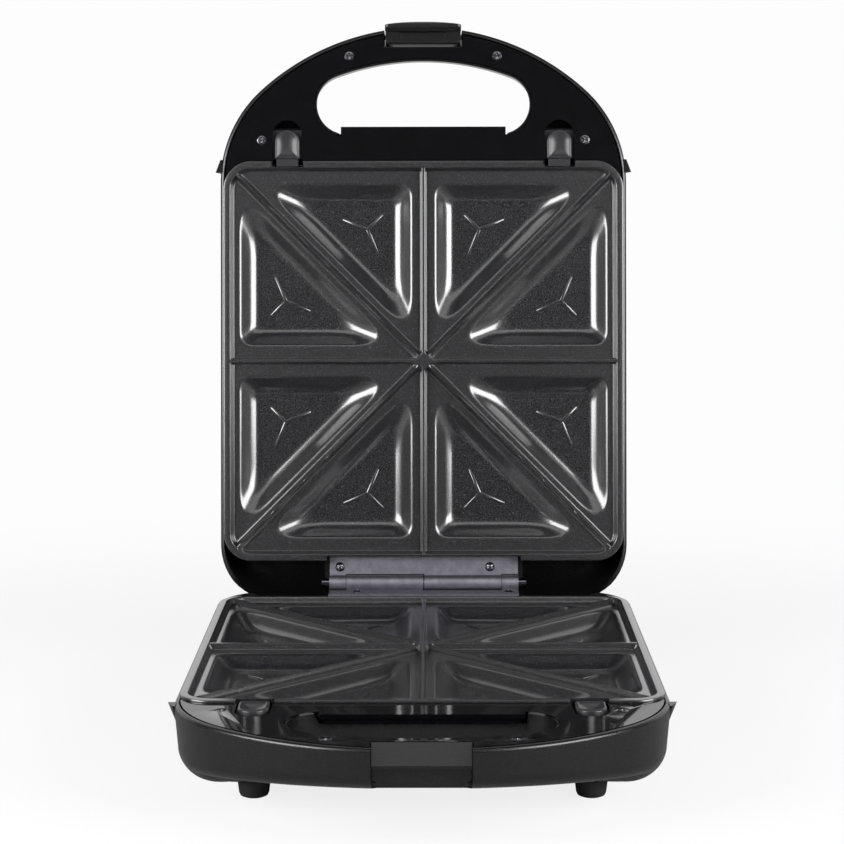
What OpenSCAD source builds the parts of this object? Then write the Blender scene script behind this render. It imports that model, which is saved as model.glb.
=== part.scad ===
// Four-portion sandwich toaster with a hinged lid, drawn open.
// Both housings are drawn closed, about a parting plane at height 0 with the plate centre at the
// origin. The lid is the same set of shapes turned over, then swung open about the hinge pin.

/* [Plates] */
// Side of the square cooking plate
plate_w = 250; // [236:1:264]
// Corner radius of the plate
plate_corner_r = 17.5; // [14:0.5:22]
// Width of the flat band round the plate's rim
rim_band = 4.4; // [3.6:0.1:5.2]
// Height of the rim and the ribs over the land of the plate
rim_h = 3.8; // [3:0.1:4.6]
// Sideways run of the sloped inner wall of the rim
rim_draft = 2; // [1:0.1:3]
// Thickness of the casting
plate_t = 2.4; // [2:0.1:2.8]
// Thickness of the rim band
band_t = 2.2; // [1.8:0.1:2.6]
// Depth of a pocket below the land
pocket_d = 8; // [6:0.5:10]
// Sideways run of a pocket's sloped wall
pocket_run = 8.5; // [6:0.5:11]
// Corner radius at the mouth of a pocket
pocket_r = 7; // [5:0.5:9]
// Land between the upright rib's centre and a pocket
pocket_gap_x = 7.6; // [6:0.2:9]
// Land between the cross rib's centre and a pocket
pocket_gap_y = 9.9; // [8:0.2:12]
// Land between a diagonal rib's centre and a pocket
pocket_gap_d = 6.3; // [5:0.1:8]
// Distance from the plate's side edge to a pocket
pocket_edge_x = 10.2; // [8.5:0.1:12]
// Distance from the plate's front and rear edges to a pocket
pocket_edge_y = 14.4; // [12:0.2:17]
// Width of a rib at its foot
rib_w = 4.2; // [3:0.1:5.4]
// Diameter of the flat where the ribs cross
hub_d = 11; // [8:0.5:14]
// Gap between the two closed plates
parting_gap = 0.4; // [0.2:0.1:1]
// Length of the raised mark's short arm in each pocket
mark_short = 13.6; // [10:0.2:15]
// Length of the raised mark's long arms
mark_long = 17; // [12:0.5:18]
// Width of the raised mark
mark_w = 1.2; // [0.8:0.1:1.6]

/* [Housings] */
// How far each shell stands out beyond the plate at the sides
side_margin = 2; // [2:0.1:4]
// Length of the handle beyond the plate's front edge
handle_l = 84; // [80:0.5:90]
// Length of the shells beyond the plate's rear edge
rear_l = 27; // [24:0.5:32]
// Radius of the shells' rear corners, seen from above
rear_r = 37; // [30:1:44]
// Radius of the handle's shoulders, seen from above
shoulder_r = 78; // [74:1:84]
// Distance from the plate's front edge back to where the shoulders begin
shoulder_y = 13; // [10:0.5:16]
// Depth of the base shell below the parting plane
base_depth = 47; // [44:0.5:54]
// Depth of the lid shell above the parting plane
lid_depth = 40; // [38:0.5:46]
// Wall thickness of the shells
wall = 2.6; // [2.2:0.1:3]
// Radius along the shells' lower side edges
side_r = 22; // [16:1:26]
// Inward lean of the side walls
side_draft = 1.6; // [0:0.1:3]
// Thickness of the handle at its tip
tip_depth = 21.5; // [20:0.5:25]
// Thickness that the handle gains per millimetre towards the body
handle_slope = 0.167; // [0.12:0.005:0.2]
// Drop from the parting plane to the lip of the shells along the handle
lip_drop = 1.8; // [1.6:0.1:2.4]
// Height of each foot
foot_h = 11; // [8:0.5:14]
// Diameter of each foot at the shell
foot_d = 18; // [15:0.5:20]
// Sideways distance of a foot from the middle
foot_x = 88; // [80:1:92]
// Front-to-back distance of a foot from the plate's centre
foot_y = 99; // [90:1:102]

// Stand-out of the fin beside the plate's front corners
fin_out = 3; // [1:0.5:4]
// Height of that fin
fin_h = 11; // [8:0.5:14]

/* [Frames] */
// Drop from the parting plane to the frame's deck
deck_drop = 1.6; // [1.2:0.1:2]
// Thickness of the deck
deck_t = 2.4; // [2:0.1:2.6]
// Gap between the frame and the shell's wall
seam = 0.6; // [0.3:0.1:0.9]
// Thickness of the wall round the well under the plate
well_t = 1.6; // [1.2:0.1:1.6]
// Depth of the well below the parting plane
well_d = 16; // [12:0.5:17]

/* [Handle slot] */
// Width of the hand opening
slot_w = 132.8; // [120:0.5:136]
// Distance from the handle's tip to the hand opening
grip_l = 21.5; // [21:0.5:24]
// Length of the hand opening from front to back
slot_l = 45.5; // [42:0.5:46]
// Radius of the opening's corners
slot_r = 18.5; // [15:0.5:20]
// Wall round the hand opening
slot_wall = 1.4; // [1.2:0.1:1.8]
// Width of the frame's lip in the hand opening
lip_w = 102; // [80:1:104]
// How far that lip stands into the opening
lip_l = 3.4; // [2.4:0.1:4.4]
// Height of that lip
lip_h = 5.4; // [4:0.2:7]

/* [Hinge] */
// Angle between the closed and the photographed, fully open, lid
open_angle = 98; // [80:1:98]
// Distance from the plate's rear edge to the hinge pin
hinge_back = 14; // [13:0.2:15]
// Height of the hinge pin over the parting plane
hinge_z = 4.4; // [4:0.1:5]
// Width of the hinge leaves
leaf_w = 118; // [100:1:124]
// Thickness of the hinge leaves
leaf_t = 1.6; // [1.2:0.1:2]
// Diameter of the hinge knuckles
knuckle_d = 10.2; // [9.6:0.1:10.6]
// Length of the short knuckle at each leaf's end
short_knuckle = 10.6; // [9:0.2:16]
// Diameter of the hinge pin
pin_d = 6; // [5:0.1:6.6]
// Length of pin that stands out at each end
pin_out = 4.8; // [3:0.2:5]
// Share of the opening angle that the base's sloped rear edge takes
base_slope = 51; // [50:0.5:53]

/* [Latch] */
// Width of the latch
latch_w = 47; // [40:0.5:50]
// Thickness of the latch at the handle
latch_t = 10.5; // [9.5:0.1:10.8]
// Reach of the latch below the parting plane
latch_reach = 18.8; // [18:0.1:19.4]
// Reach of the hook past the stem
hook_l = 2.2; // [1.8:0.1:2.3]
// Diameter of the latch pin
latch_pin_d = 3; // [2.4:0.1:3.4]
// Height of the latch pin from the parting plane
latch_pin_z = 9; // [8:0.1:10]
// Swing of the latch from free to locked
latch_swing = 6; // [5:0.5:6]
// Distance from the handle's tip to the nose that the hook catches
nose_in = 6; // [5.8:0.1:6.6]
// Depth of the nose's underside below the parting plane
nose_z = 12.6; // [12:0.1:13]

/* [Plate releases] */
// Distance from the plate's side edge in to the middle of a release button
release_inset = 40; // [39:0.5:43]
// Width of a release button
release_w = 15.6; // [13:0.2:16.4]
// Length of a release button
release_l = 18.4; // [16:0.2:20]
// Travel of a release button
release_travel = 5; // [4:0.1:5.4]
// Diameter of a release spring
spring_d = 5; // [4:0.1:5.4]
// Wire of a release spring
spring_wire = 0.8; // [0.6:0.05:1]
// Length of a fitted release spring
spring_l = 14; // [12:0.5:15]

/* [Heating] */
// Diameter of the heating element's sheath
element_d = 6.6; // [6:0.1:7]
// Distance from the plate's centre to the element's straight runs
element_run = 88; // [80:1:92]
// Bend radius of the element
element_bend = 16; // [12:1:20]
// Distance between the element's two ends
element_gap = 40; // [30:1:50]
// Distance from the plate's edge in to the reflector tray
reflector_inset = 7; // [5:0.5:15]
// Depth of the reflector tray
reflector_d = 9; // [8:0.5:10]
// Thickness of the reflector sheet
reflector_t = 0.8; // [0.6:0.1:1]
// Sideways distance of the cord's way out from the middle
gland_x = 76; // [72:1:80]
// Bore of the cord gland
gland_bore = 7; // [5:0.1:8]
// Diameter of an indicator lens
lens_d = 8; // [6:0.1:10]

/* [Fasteners] */
// Diameter of the screw heads
screw_head = 6; // [5:0.1:6.4]
// Diameter of the screw shanks
screw_d = 3; // [2.6:0.1:3.2]

/* [Hidden] */

$fn = 48;

// running and seating clearances
slip = 0.3;
touch = 0.1;
hole_slack = 0.1;
pin_slack = 0.05;
seat = 0.05;
far = 400;
fine = 0.01;

plate_h = plate_w / 2;
half_w = plate_h + side_margin;
tip_y = plate_h + handle_l;
neck_y = plate_h - shoulder_y;
rear_y = plate_h + rear_l;
hinge_y = plate_h + hinge_back;
stand_h = base_depth + foot_h;
plate_top = parting_gap / 2;
band_under = plate_top + band_t;
land_z = plate_top + rim_h;
pocket_z = land_z + pocket_d;
plate_under = pocket_z + plate_t;
pan_inset = rim_band - 0.4;
rib_top = plate_top + 0.15;
hub_top = plate_top + 0.05;
deck_under = deck_drop + deck_t;
side_lip = band_under + slip + touch;

// the handle's crown arc runs tangent to both shoulder arcs and through the tip
shoulder_x = half_w - shoulder_r;
crown_rise = tip_y - neck_y;
crown_r = (shoulder_x * shoulder_x + crown_rise * crown_rise - shoulder_r * shoulder_r)
    / (2 * (crown_rise - shoulder_r));
crown_y = -tip_y + crown_r;
crown_turn = atan2(-neck_y - crown_y, shoulder_x);

// the hand opening is a like arch over a straight foot
slot_top = tip_y - grip_l;
slot_foot = slot_top - slot_l;
slot_side_x = slot_w / 2 - slot_r;
slot_side_y = slot_foot + slot_r;
slot_rise = slot_top - slot_side_y;
slot_crown_r = (slot_side_x * slot_side_x + slot_rise * slot_rise - slot_r * slot_r)
    / (2 * (slot_rise - slot_r));
slot_crown_y = -slot_top + slot_crown_r;
slot_turn = atan2(-slot_side_y - slot_crown_y, slot_side_x);
frame_slot = slot_wall + slip;

// the underside sweeps up from the belly to the handle between these two places
belly_front = plate_h - 15;
belly_end = plate_h + 13;

// ring under the plate's rim
ring_out = 2.2;
ring_in = ring_out + well_t;
ring_top = band_under + touch;
deck_gap = 0.6;
deck_rear = plate_h - 7;
link_t = 2.8;

// fins
fin_rear = plate_h - 7;
fin_front = plate_h + 1;

// hinge
knuckle_r = knuckle_d / 2;
leaf_front = plate_h - 2.6;
leaf_low = knuckle_r - 0.1;
knuckle_gap = 0.8;
knuckle_split = leaf_w / 2 - short_knuckle;
leaf_screw_x = [-leaf_w / 2 + 17.6, leaf_w / 2 - 6.4];
leaf_screw_y = leaf_front + 6.6;
pan_head_h = 1.8;
lid_slope = open_angle - base_slope;
hinge_notch = leaf_w / 2 + 1.6;
block_x = leaf_w / 2 + 3;
block_front = plate_h - ring_out + 0.6;
block_rear = hinge_y - 2.6;

// latch bays
bay_x = latch_w / 2 + 0.8;
bay_wall = 2.4;
ramp_top = tip_y - 13.7;
nose_y = tip_y - nose_in;
ledge_y = tip_y - 10.5;
lid_bay_y = tip_y - 12.5;
latch_front = tip_y - 0.4;
latch_back = latch_front - latch_t;
latch_pin_y = tip_y - 5.5;
latch_end = 17;
locked_lean = sin(latch_swing) * (latch_pin_z + nose_z);
stem_y = nose_y + slip + locked_lean;
hook_tip_y = stem_y - hook_l;
hook_top = nose_z + 1.1;
relief_w = 9;
relief_r = 4.6;
latch_spring_wire = 0.7;

// plate releases
release_x = plate_h - release_inset;
release_front = plate_h + 1.2;
release_end = release_front + release_l;
recess_w = release_w + 2.6;
recess_end = release_end + release_travel + 1;
tongue_reach = plate_h - pan_inset + 0.6;
tongue_z = [1.4, 3.1];
hold_z = [3.4, 5];
notch_w = release_w + 4.4;
guide_t = 1.5;
flange_w = recess_w + 1.6;
rail_in = flange_w / 2 + slip;
rail_t = 1.8;
flange_z = deck_under + slip;
flange_under = flange_z + guide_t;
spring_z = flange_under + slip + touch + spring_d / 2;
lug_t = 2;
lug_y = release_front + 2;
pad_y = lug_y + lug_t + spring_l;
pad_z = spring_z + spring_d / 2 + 1;
spring_turns = 6;

// heating
reflector_w = plate_w - 2 * reflector_inset;
element_r = element_d / 2;
element_z = plate_under + slip + element_r;
element_drop = 8;
element_end_z = element_z + 14;
tray_top = well_d + touch;
tray_floor = tray_top + reflector_d;
tray_under = tray_floor + reflector_t;
tray_rim = 4.6;
tray_r = 15;
tray_draft = 3;
tray_boss = plate_h - 55;
thermostat_d = 16;
thermostat_h = 7;
tab_w = 3;
tab_t = 0.8;
tab_x = 5;
tab_l = 4.1;
fuse_d = 5.2;
fuse_l = 14;
fuse_lead_d = 1.2;
fuse_lead_l = 34;

frame_screw_spots = [
    [-half_w + 26, -plate_h - 13], [half_w - 26, -plate_h - 13],
    [-latch_w / 2 - 22.7, -tip_y + 18.5], [latch_w / 2 + 22.7, -tip_y + 18.5]
];
tray_screw_spots = [for (x = [-tray_boss, tray_boss], y = [-tray_boss, tray_boss]) [x, y]];
boss_d = screw_d + 3.6;
screw_hole = screw_d + 2 * hole_slack;
screw_l = 12;
sunk_h = 1.4;
cross_w = 0.9;
cross_d = 0.7;

gland_z = 21;
gland_out = 20;
gland_d = gland_bore + 4;
gland_flange = gland_bore + 7;
foot_spigot = 8;
foot_head = 11;
lens_x = 9;
lens_y = plate_h - 30;
lens_lip = 1;
holder_rim = 3;
lens_t = 1.2;

// the object's middle, front to back: base handle tip against the open lid's rearmost corner
lid_corner_y = hinge_y - (belly_front + hinge_y) * cos(open_angle)
    + (lid_depth - hinge_z) * sin(open_angle);
shift_y = (tip_y - lid_corner_y) / 2;

black_gloss = "#0c0c0d";
black_satin = "#333233";
coating = "#403f42";
steel = "#96959d";
bright = "#c4c5c8";
dark_steel = "#4a4a4d";
rubber = "#181818";

function arc(cx, cy, r, a0, a1, n) =
    [for (i = [0:n]) let (a = a0 + (a1 - a0) * i / n) [cx + r * cos(a), cy + r * sin(a)]];

// plan of a shell, drawn in by the given inset
function outline(inset) = concat(
    arc(half_w - rear_r, rear_y - rear_r, rear_r - inset, 0, 90, 10),
    arc(-half_w + rear_r, rear_y - rear_r, rear_r - inset, 90, 180, 10),
    arc(-shoulder_x, -neck_y, shoulder_r - inset, 180, 180 - crown_turn, 8),
    arc(0, crown_y, crown_r - inset, 180 - crown_turn + 3, 357 + crown_turn, 16),
    arc(shoulder_x, -neck_y, shoulder_r - inset, 360 + crown_turn, 360, 8)
);

// plan of the hand opening, let out by the given amount
function slot_outline(grow) = concat(
    arc(-slot_side_x, -slot_side_y, slot_r + grow, 90, 180, 6),
    arc(-slot_side_x, -slot_side_y, slot_r + grow, 180 - slot_turn * 0.25, 180 - slot_turn, 4),
    arc(0, slot_crown_y, slot_crown_r + grow, 183 - slot_turn, 357 + slot_turn, 12),
    arc(slot_side_x, -slot_side_y, slot_r + grow, 360 + slot_turn, 360 + slot_turn * 0.25, 4),
    arc(slot_side_x, -slot_side_y, slot_r + grow, 0, 90, 6)
);

// a square with rounded corners, drawn in from the plate's edge
function plate_plan(inset, n = 6) = let (c = plate_h - plate_corner_r, r = plate_corner_r - inset)
    concat(arc(c, c, r, 0, 90, n), arc(-c, c, r, 90, 180, n),
        arc(-c, -c, r, 180, 270, n), arc(c, -c, r, 270, 360, n));

// height of the handle's underside at a distance from the plate centre towards the tip
function handle_under(y) = tip_depth + (tip_y - y) * handle_slope;

function ease(t) = t * t * (3 - 2 * t);

// side view of a shell as [y, z], with z up and the parting plane at 0; the inner skin has no lip
function side_profile(depth, inset) = let (rise = inset > 0 ? far : 0) concat(
    [[-tip_y - 10, rise - lip_drop], [-fin_front, rise - lip_drop], [-fin_front, rise - side_lip],
        [rear_y + 10, rise - side_lip], [rear_y + 10, -depth + side_r]],
    arc(rear_y - side_r, -depth + side_r, side_r - inset, 0, -90, 9),
    [for (i = [0:8]) let (t = i / 8, y = belly_front + (belly_end - belly_front) * t)
        [-y, -depth + (depth - handle_under(belly_end)) * ease(t) + inset]],
    [[-tip_y - 10, -handle_under(tip_y + 10) + inset]]
);

// front view of a shell, as [x, z]
function front_profile(depth, inset) = let (c = half_w - side_draft - side_r) concat(
    [[half_w - inset, 10], [half_w - inset, -side_lip]],
    arc(c, -depth + side_r, side_r - inset, 0, -90, 9),
    arc(-c, -depth + side_r, side_r - inset, -90, -180, 9),
    [[-half_w + inset, -side_lip], [-half_w + inset, 10]]
);

// [y, z] outlines of the bays that the latch turns in
base_bay = [
    [-tip_y - 20, 10], [-ramp_top, 10], [-ramp_top, -lip_drop], [-nose_y, -nose_z + 1.4],
    [-nose_y, -nose_z], [-ledge_y, -nose_z - 0.6], [-ledge_y, -far], [-tip_y - 20, -far]
];
lid_bay = [[-tip_y - 20, 10], [-lid_bay_y, 10], [-lid_bay_y, -far], [-tip_y - 20, -far]];

module along_x(profile, width) rotate([90, 0, 90])
    linear_extrude(width, center = true) polygon(profile);

module along_y(profile) rotate([90, 0, 0])
    linear_extrude(2 * far, center = true) polygon(profile);

module prism(points, low, high) translate([0, 0, low])
    linear_extrude(high - low) polygon(points);

module slab(x, y, z) translate([x[0], y[0], z[0]]) cube([x[1] - x[0], y[1] - y[0], z[1] - z[0]]);

module rod(spot, low, high, d) translate([spot[0], spot[1], low]) cylinder(h = high - low, d = d);

module cross_rod(y, z, x, d) translate([x[0], y, z]) rotate([0, 90, 0])
    cylinder(h = x[1] - x[0], d = d);

module both_sides() {
    children();
    mirror([1, 0, 0]) children();
}

module in_base() translate([0, shift_y, stand_h]) children();

module in_lid() translate([0, shift_y + hinge_y, stand_h + hinge_z]) rotate([-open_angle, 0, 0])
    translate([0, -hinge_y, -hinge_z]) mirror([0, 0, 1]) children();

// ---- housings

module shell_form(depth, inset) intersection() {
    prism(outline(inset), -far / 2, 5);
    along_x(side_profile(depth, inset), far);
    along_y(front_profile(depth, inset));
}

// what lies behind the sloped edges that meet when the lid is fully open
module rear_cut(slope, pin_height) translate([0, hinge_y, pin_height]) rotate([-slope, 0, 0])
    slab([-far, far], [0, far], [-slip / 2, far]);

// triangular fin that shades the seam beside the plate's front corner
module fin() hull() {
    translate([0, 0, -side_lip - fine]) linear_extrude(fine)
        polygon([[half_w - 2, -fin_front], [half_w, -fin_front], [half_w + fin_out, -fin_rear],
            [half_w - 2, -fin_rear]]);
    translate([half_w - 2, -fin_rear - fine, -side_lip - fin_h]) cube([fine, fine, fine]);
}

module shell(depth, bay, bay_back, slope, pin_height) difference() {
    union() {
        difference() {
            shell_form(depth, 0);
            shell_form(depth, wall);
        }
        intersection() {
            shell_form(depth, 0);
            union() {
                // wall round the hand opening, lower where the frame's lip hangs over it
                difference() {
                    prism(slot_outline(slot_wall), -far / 2, -lip_drop - 0.5);
                    slab([-lip_w / 2 - 1.6, lip_w / 2 + 1.6],
                        [-slot_foot - lip_l - 1, -slot_foot + 4],
                        [-deck_drop - lip_h - 0.5, 0]);
                }
                // block round the latch bay
                slab([-bay_x - bay_wall, bay_x + bay_wall], [-far, -bay_back + bay_wall],
                    [-far / 2, -deck_under - touch]);
                slab([-bay_x, bay_x], [-far, -bay_back + 0.6], [-deck_under - 1, -lip_drop]);
                for (spot = frame_screw_spots)
                    rod(spot, -far / 2, -deck_under - touch, boss_d);
                for (spot = tray_screw_spots)
                    rod(spot, -far / 2, -tray_under - touch, boss_d + 2);
                // block under the hinge leaf
                slab([-block_x, block_x], [block_front, block_rear],
                    [-far / 2, pin_height - leaf_low - seat]);
            }
        }
        both_sides() fin();
    }
    prism(slot_outline(0), -far / 2, 10);
    intersection() {
        along_x(bay, far);
        slab([-bay_x, bay_x], [-far, 0], [-far / 2, 5]);
    }
    for (spot = frame_screw_spots)
        rod(spot, -deck_under - screw_l - 1, 0, screw_hole);
    for (spot = tray_screw_spots)
        rod(spot, -tray_floor - screw_l + 1, 0, screw_hole);
    both_sides() slab([half_w - 1.3, half_w + 5], [-fin_rear, -fin_rear + 8],
        [-side_lip - fin_h + 1, 0]);
    rear_cut(slope, pin_height);
}

module base_shell() color(black_satin) in_base() difference() {
    shell(base_depth, base_bay, ramp_top, base_slope, hinge_z);
    for (x = leaf_screw_x)
        rod([x, leaf_screw_y], hinge_z - leaf_low - screw_l, 0, screw_hole);
    for (x = [-foot_x, foot_x], y = [-foot_y, foot_y])
        rod([x, y], -base_depth - 1, -base_depth + wall + 1, foot_spigot + 2 * hole_slack);
    translate([gland_x, rear_y - wall - 3, -gland_z]) rotate([-90, 0, 0])
        cylinder(h = wall + 6, d = gland_d + 2 * hole_slack);
}

module lid_shell() color(black_satin) in_lid() difference() {
    shell(lid_depth, lid_bay, lid_bay_y, lid_slope, -hinge_z);
    for (x = leaf_screw_x)
        rod([-x, leaf_screw_y], -hinge_z - leaf_low - screw_l, 0, screw_hole);
    cross_rod(-latch_pin_y, -latch_pin_z, [-bay_x - bay_wall - 1, bay_x + bay_wall + 1],
        latch_pin_d + 2 * pin_slack);
    for (x = [-lens_x, lens_x])
        rod([x, -lens_y], -lid_depth - 1, -lid_depth + wall + 1, lens_d + 2 * hole_slack);
}

// ---- frames

// button plan: square towards the plate, round towards the handle
function release_plan(width, front, end) = let (r = width / 2) concat(
    [[-r, -front], [-r, -end + r]], arc(0, -end + r, r, 190, 350, 8), [[r, -end + r], [r, -front]]);

module frame(bay_back, pin_height) difference() {
    union() {
        // deck over the handle, reaching round the plate's front corners
        difference() {
            intersection() {
                prism(outline(wall + seam), -deck_under, -deck_drop);
                slab([-far, far], [-far, -deck_rear], [-far, 0]);
            }
            prism(plate_plan(-deck_gap), -far, 0);
        }
        // ring under the plate's rim, and the step that joins it to the deck
        difference() {
            union() {
                prism(plate_plan(ring_out), -well_d, -ring_top);
                intersection() {
                    prism(plate_plan(-deck_gap - 1), -ring_top - link_t, -ring_top - touch);
                    prism(outline(wall + seam), -far, 0);
                    slab([-far, far], [-far, -plate_h + 30], [-far, 0]);
                }
            }
            prism(plate_plan(ring_in), -far, 0);
        }
        // lip that hangs into the hand opening
        prism([[-lip_w / 2, -slot_foot + frame_slot + 0.5], [lip_w / 2, -slot_foot + frame_slot + 0.5],
            [lip_w / 2 - 3, -slot_foot - lip_l], [-lip_w / 2 + 3, -slot_foot - lip_l]],
            -deck_drop - lip_h, -deck_drop);
        // guides for the plate releases
        both_sides() translate([release_x, 0, 0]) {
            for (side = [-1, 1]) {
                slab([side * (rail_in + rail_t / 2) - rail_t / 2, side * (rail_in + rail_t / 2) + rail_t / 2],
                    [-recess_end - 2, -release_front + 0.4], [-pad_z, -deck_under + touch]);
                slab([side * (rail_in - 0.6) - 0.9, side * (rail_in - 0.6) + 0.9],
                    [-recess_end - 2, -release_front + 0.4],
                    [-flange_under - touch - guide_t, -flange_under - touch]);
            }
            slab([-rail_in - 0.5, rail_in + 0.5], [-pad_y - 1.8, -pad_y],
                [-pad_z, -flange_under - touch]);
        }
    }
    difference() {
        prism(slot_outline(frame_slot), -far, 0);
        slab([-lip_w / 2 - 0.5, lip_w / 2 + 0.5], [-slot_foot - lip_l - 1, -slot_foot + 5], [-far, 0]);
    }
    slab([-bay_x - slip, bay_x + slip], [-far, -bay_back + 0.9], [-far, 0]);
    for (spot = frame_screw_spots) {
        rod(spot, -far, 0, screw_hole);
        translate([spot[0], spot[1], -deck_drop - 1.5])
            cylinder(h = 1.6, d1 = screw_d + 0.4, d2 = screw_head + 0.6);
    }
    both_sides() translate([release_x, 0, 0]) {
        prism(release_plan(recess_w, plate_h - 3, recess_end), -deck_under - fine, 0);
        slab([-rail_in, rail_in], [-release_front - 1, -plate_h + ring_out],
            [-flange_under - slip, -deck_under]);
        slab([-recess_w / 2, recess_w / 2], [-release_front, -plate_h + ring_out],
            [-deck_under - 1, 0]);
        slab([-release_w / 2 - slip, release_w / 2 + slip], [-plate_h - 1, -plate_h + ring_in + 1],
            [-hold_z[1] - slip, 0]);
    }
    // room for the hinge leaf
    slab([-hinge_notch, hinge_notch], [plate_h - 5, far], [pin_height - leaf_low - slip, 0]);
}

module base_frame() color(black_gloss) in_base() frame(ramp_top, hinge_z);

module lid_frame() color(black_gloss) in_lid() frame(lid_bay_y, -hinge_z);

// ---- plates

// arc centres of a triangular pocket whose edges are drawn in by the given inset, as [u, v]:
// the right angle lies beside a rib, the long side runs along a diagonal rib
function pocket_centres(near, outer, k) = let (d = (pocket_gap_d + k) * sqrt(2))
    [[near + k, outer - k], [outer - k - d, outer - k], [near + k, near + k + d]];

function pocket_heart(near, outer) = (outer - near - pocket_gap_d * sqrt(2)) / (2 + sqrt(2));

module pocket_layer(near, outer, inset, r, z) translate([0, 0, z]) linear_extrude(fine)
    hull() for (c = pocket_centres(near, outer, inset + r)) translate(c) circle(r, $fn = 16);

module pocket_form(near, outer, grow) hull() {
    pocket_layer(near, outer, -grow, pocket_r + grow, -land_z - grow / 2);
    pocket_layer(near, outer, pocket_run - grow, pocket_r - 2 + grow, -pocket_z - grow);
}

module pocket_mark(near, outer) let (k = pocket_heart(near, outer)) translate([near + k, outer - k, 0])
    for (arm = [[135, mark_short], [-112.5, mark_long], [22.5, mark_long]])
        rotate(arm[0]) slab([0, arm[1]], [-mark_w / 2, mark_w / 2], [-pocket_z - 0.5, -pocket_z + 0.6]);

// all eight places of a pocket; the first child is for those beside the upright rib, the second
// for those beside the cross rib
module eight() for (a = [0, 1], b = [0, 1]) mirror([a, 0, 0]) mirror([0, b, 0]) {
    children(0);
    mirror([1, -1, 0]) children(1);
}

upright = [pocket_gap_x, plate_h - pocket_edge_y];
across = [pocket_gap_y, plate_h - pocket_edge_x];

module rib(angle) rotate(angle) along_y([[-rib_w / 2, -land_z], [-0.6, -rib_top],
    [0.6, -rib_top], [rib_w / 2, -land_z], [rib_w / 2, -land_z - 0.5], [-rib_w / 2, -land_z - 0.5]]);

module plate() {
    difference() {
        union() {
            prism(plate_plan(0), -band_under, -plate_top);
            prism(plate_plan(pan_inset), -land_z - plate_t, -plate_top - 0.5);
            eight() {
                pocket_form(upright[0], upright[1], plate_t * 0.9);
                pocket_form(across[0], across[1], plate_t * 0.9);
            }
            // ledges that the release tongues hold
            both_sides() slab([release_x - notch_w / 2 + 1, release_x + notch_w / 2 - 1],
                [-plate_h + ring_in + 0.2, -plate_h + pan_inset + 1], [-hold_z[1], -hold_z[0]]);
        }
        hull() {
            prism(plate_plan(rim_band + rim_draft), -land_z, -land_z + fine);
            prism(plate_plan(rim_band), -plate_top, -plate_top + fine);
        }
        eight() {
            pocket_form(upright[0], upright[1], 0);
            pocket_form(across[0], across[1], 0);
        }
        both_sides() slab([release_x - notch_w / 2, release_x + notch_w / 2],
            [-plate_h - 1, -plate_h + pan_inset], [-hold_z[0], 0]);
        slab([-hinge_notch, hinge_notch], [plate_h - 3.4, far], [-far, 0]);
    }
    // ribs, ending against the rim
    intersection() {
        prism(plate_plan(rim_band - 0.3), -land_z - 0.4, 0);
        union() {
            for (angle = [0, 45, 90, 135]) rib(angle);
            translate([0, 0, -land_z - 0.5])
                cylinder(h = land_z + 0.5 - hub_top, d1 = hub_d + 3, d2 = hub_d, $fn = 24);
        }
    }
    eight() {
        pocket_mark(upright[0], upright[1]);
        pocket_mark(across[0], across[1]);
    }
}

module lower_plate() color(coating) in_base() plate();

module upper_plate() color(coating) in_lid() plate();

// ---- heating

function tray_plan(grow, n = 5) = let (h = reflector_w / 2, c = h - tray_r, r = tray_r + grow)
    concat(arc(c, c, r, 0, 90, n), arc(-c, c, r, 90, 180, n),
        arc(-c, -c, r, 180, 270, n), arc(c, -c, r, 270, 360, n));

module tray_body(grow, low, high) hull() {
    prism(tray_plan(grow - tray_draft), low, low + fine);
    prism(tray_plan(grow), high - fine, high);
}

module reflector() difference() {
    union() {
        tray_body(0, -tray_under, -tray_top);
        prism(tray_plan(tray_rim), -tray_top - reflector_t, -tray_top);
    }
    tray_body(-reflector_t, -tray_floor, -tray_top + 1);
    for (spot = tray_screw_spots) rod(spot, -far, 0, screw_hole);
    for (x = [-element_gap / 2, element_gap / 2])
        rod([x, element_run], -far, 0, element_d + 2);
}

module lower_reflector() color(bright) in_base() reflector();

module upper_reflector() color(bright) in_lid() reflector();

// a tube round a route of rings, each [centre, side vector, up vector]
module tube(route, r, sides = 10) {
    points = [for (ring = route, j = [0:sides - 1]) let (b = 360 * j / sides)
        ring[0] + r * cos(b) * ring[1] + r * sin(b) * ring[2]];
    last = sides * (len(route) - 1);
    faces = [for (i = [0:len(route) - 2], j = [0:sides - 1])
        let (k = sides * i + j, n = sides * i + (j + 1) % sides)
        each [[k, n + sides, n], [k, k + sides, n + sides]]];
    caps = [for (j = [1:sides - 2]) each [[0, j, j + 1], [last, last + j + 1, last + j]]];
    polyhedron(points, concat(faces, caps));
}

// the element's end, turning from its run down through the tray's floor
function element_leg(side) = let (b = element_drop, x = side * (element_gap / 2 + b))
    [for (i = [0:4]) let (t = side < 0 ? 22.5 * i : 90 + 22.5 * i)
        [[x + b * cos(t), element_run, -element_z - b + b * sin(t)], [0, -1, 0],
            [cos(t), 0, sin(t)]]];

// the loop round the tray, anticlockwise from the rear left corner
function element_loop() = let (c = element_run - element_bend)
    [for (q = [1:4], i = [0:4]) let (t = 90 * q + 22.5 * i, m = 90 * q + 45)
        [[c * sign(cos(m)) + element_bend * cos(t), c * sign(sin(m)) + element_bend * sin(t),
            -element_z], [-cos(t), -sin(t), 0], [0, 0, 1]]];

function element_foot(side) =
    [[[side * element_gap / 2, element_run, -element_end_z], [0, -1, 0], [-side, 0, 0]]];

module element() {
    tube(concat(element_foot(-1), element_leg(-1), element_loop(), element_leg(1),
        element_foot(1)), element_r);
    for (side = [-1, 1]) rod([side * element_gap / 2, element_run], -element_end_z - 4,
        -element_end_z + 1, element_d / 2);
}

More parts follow.
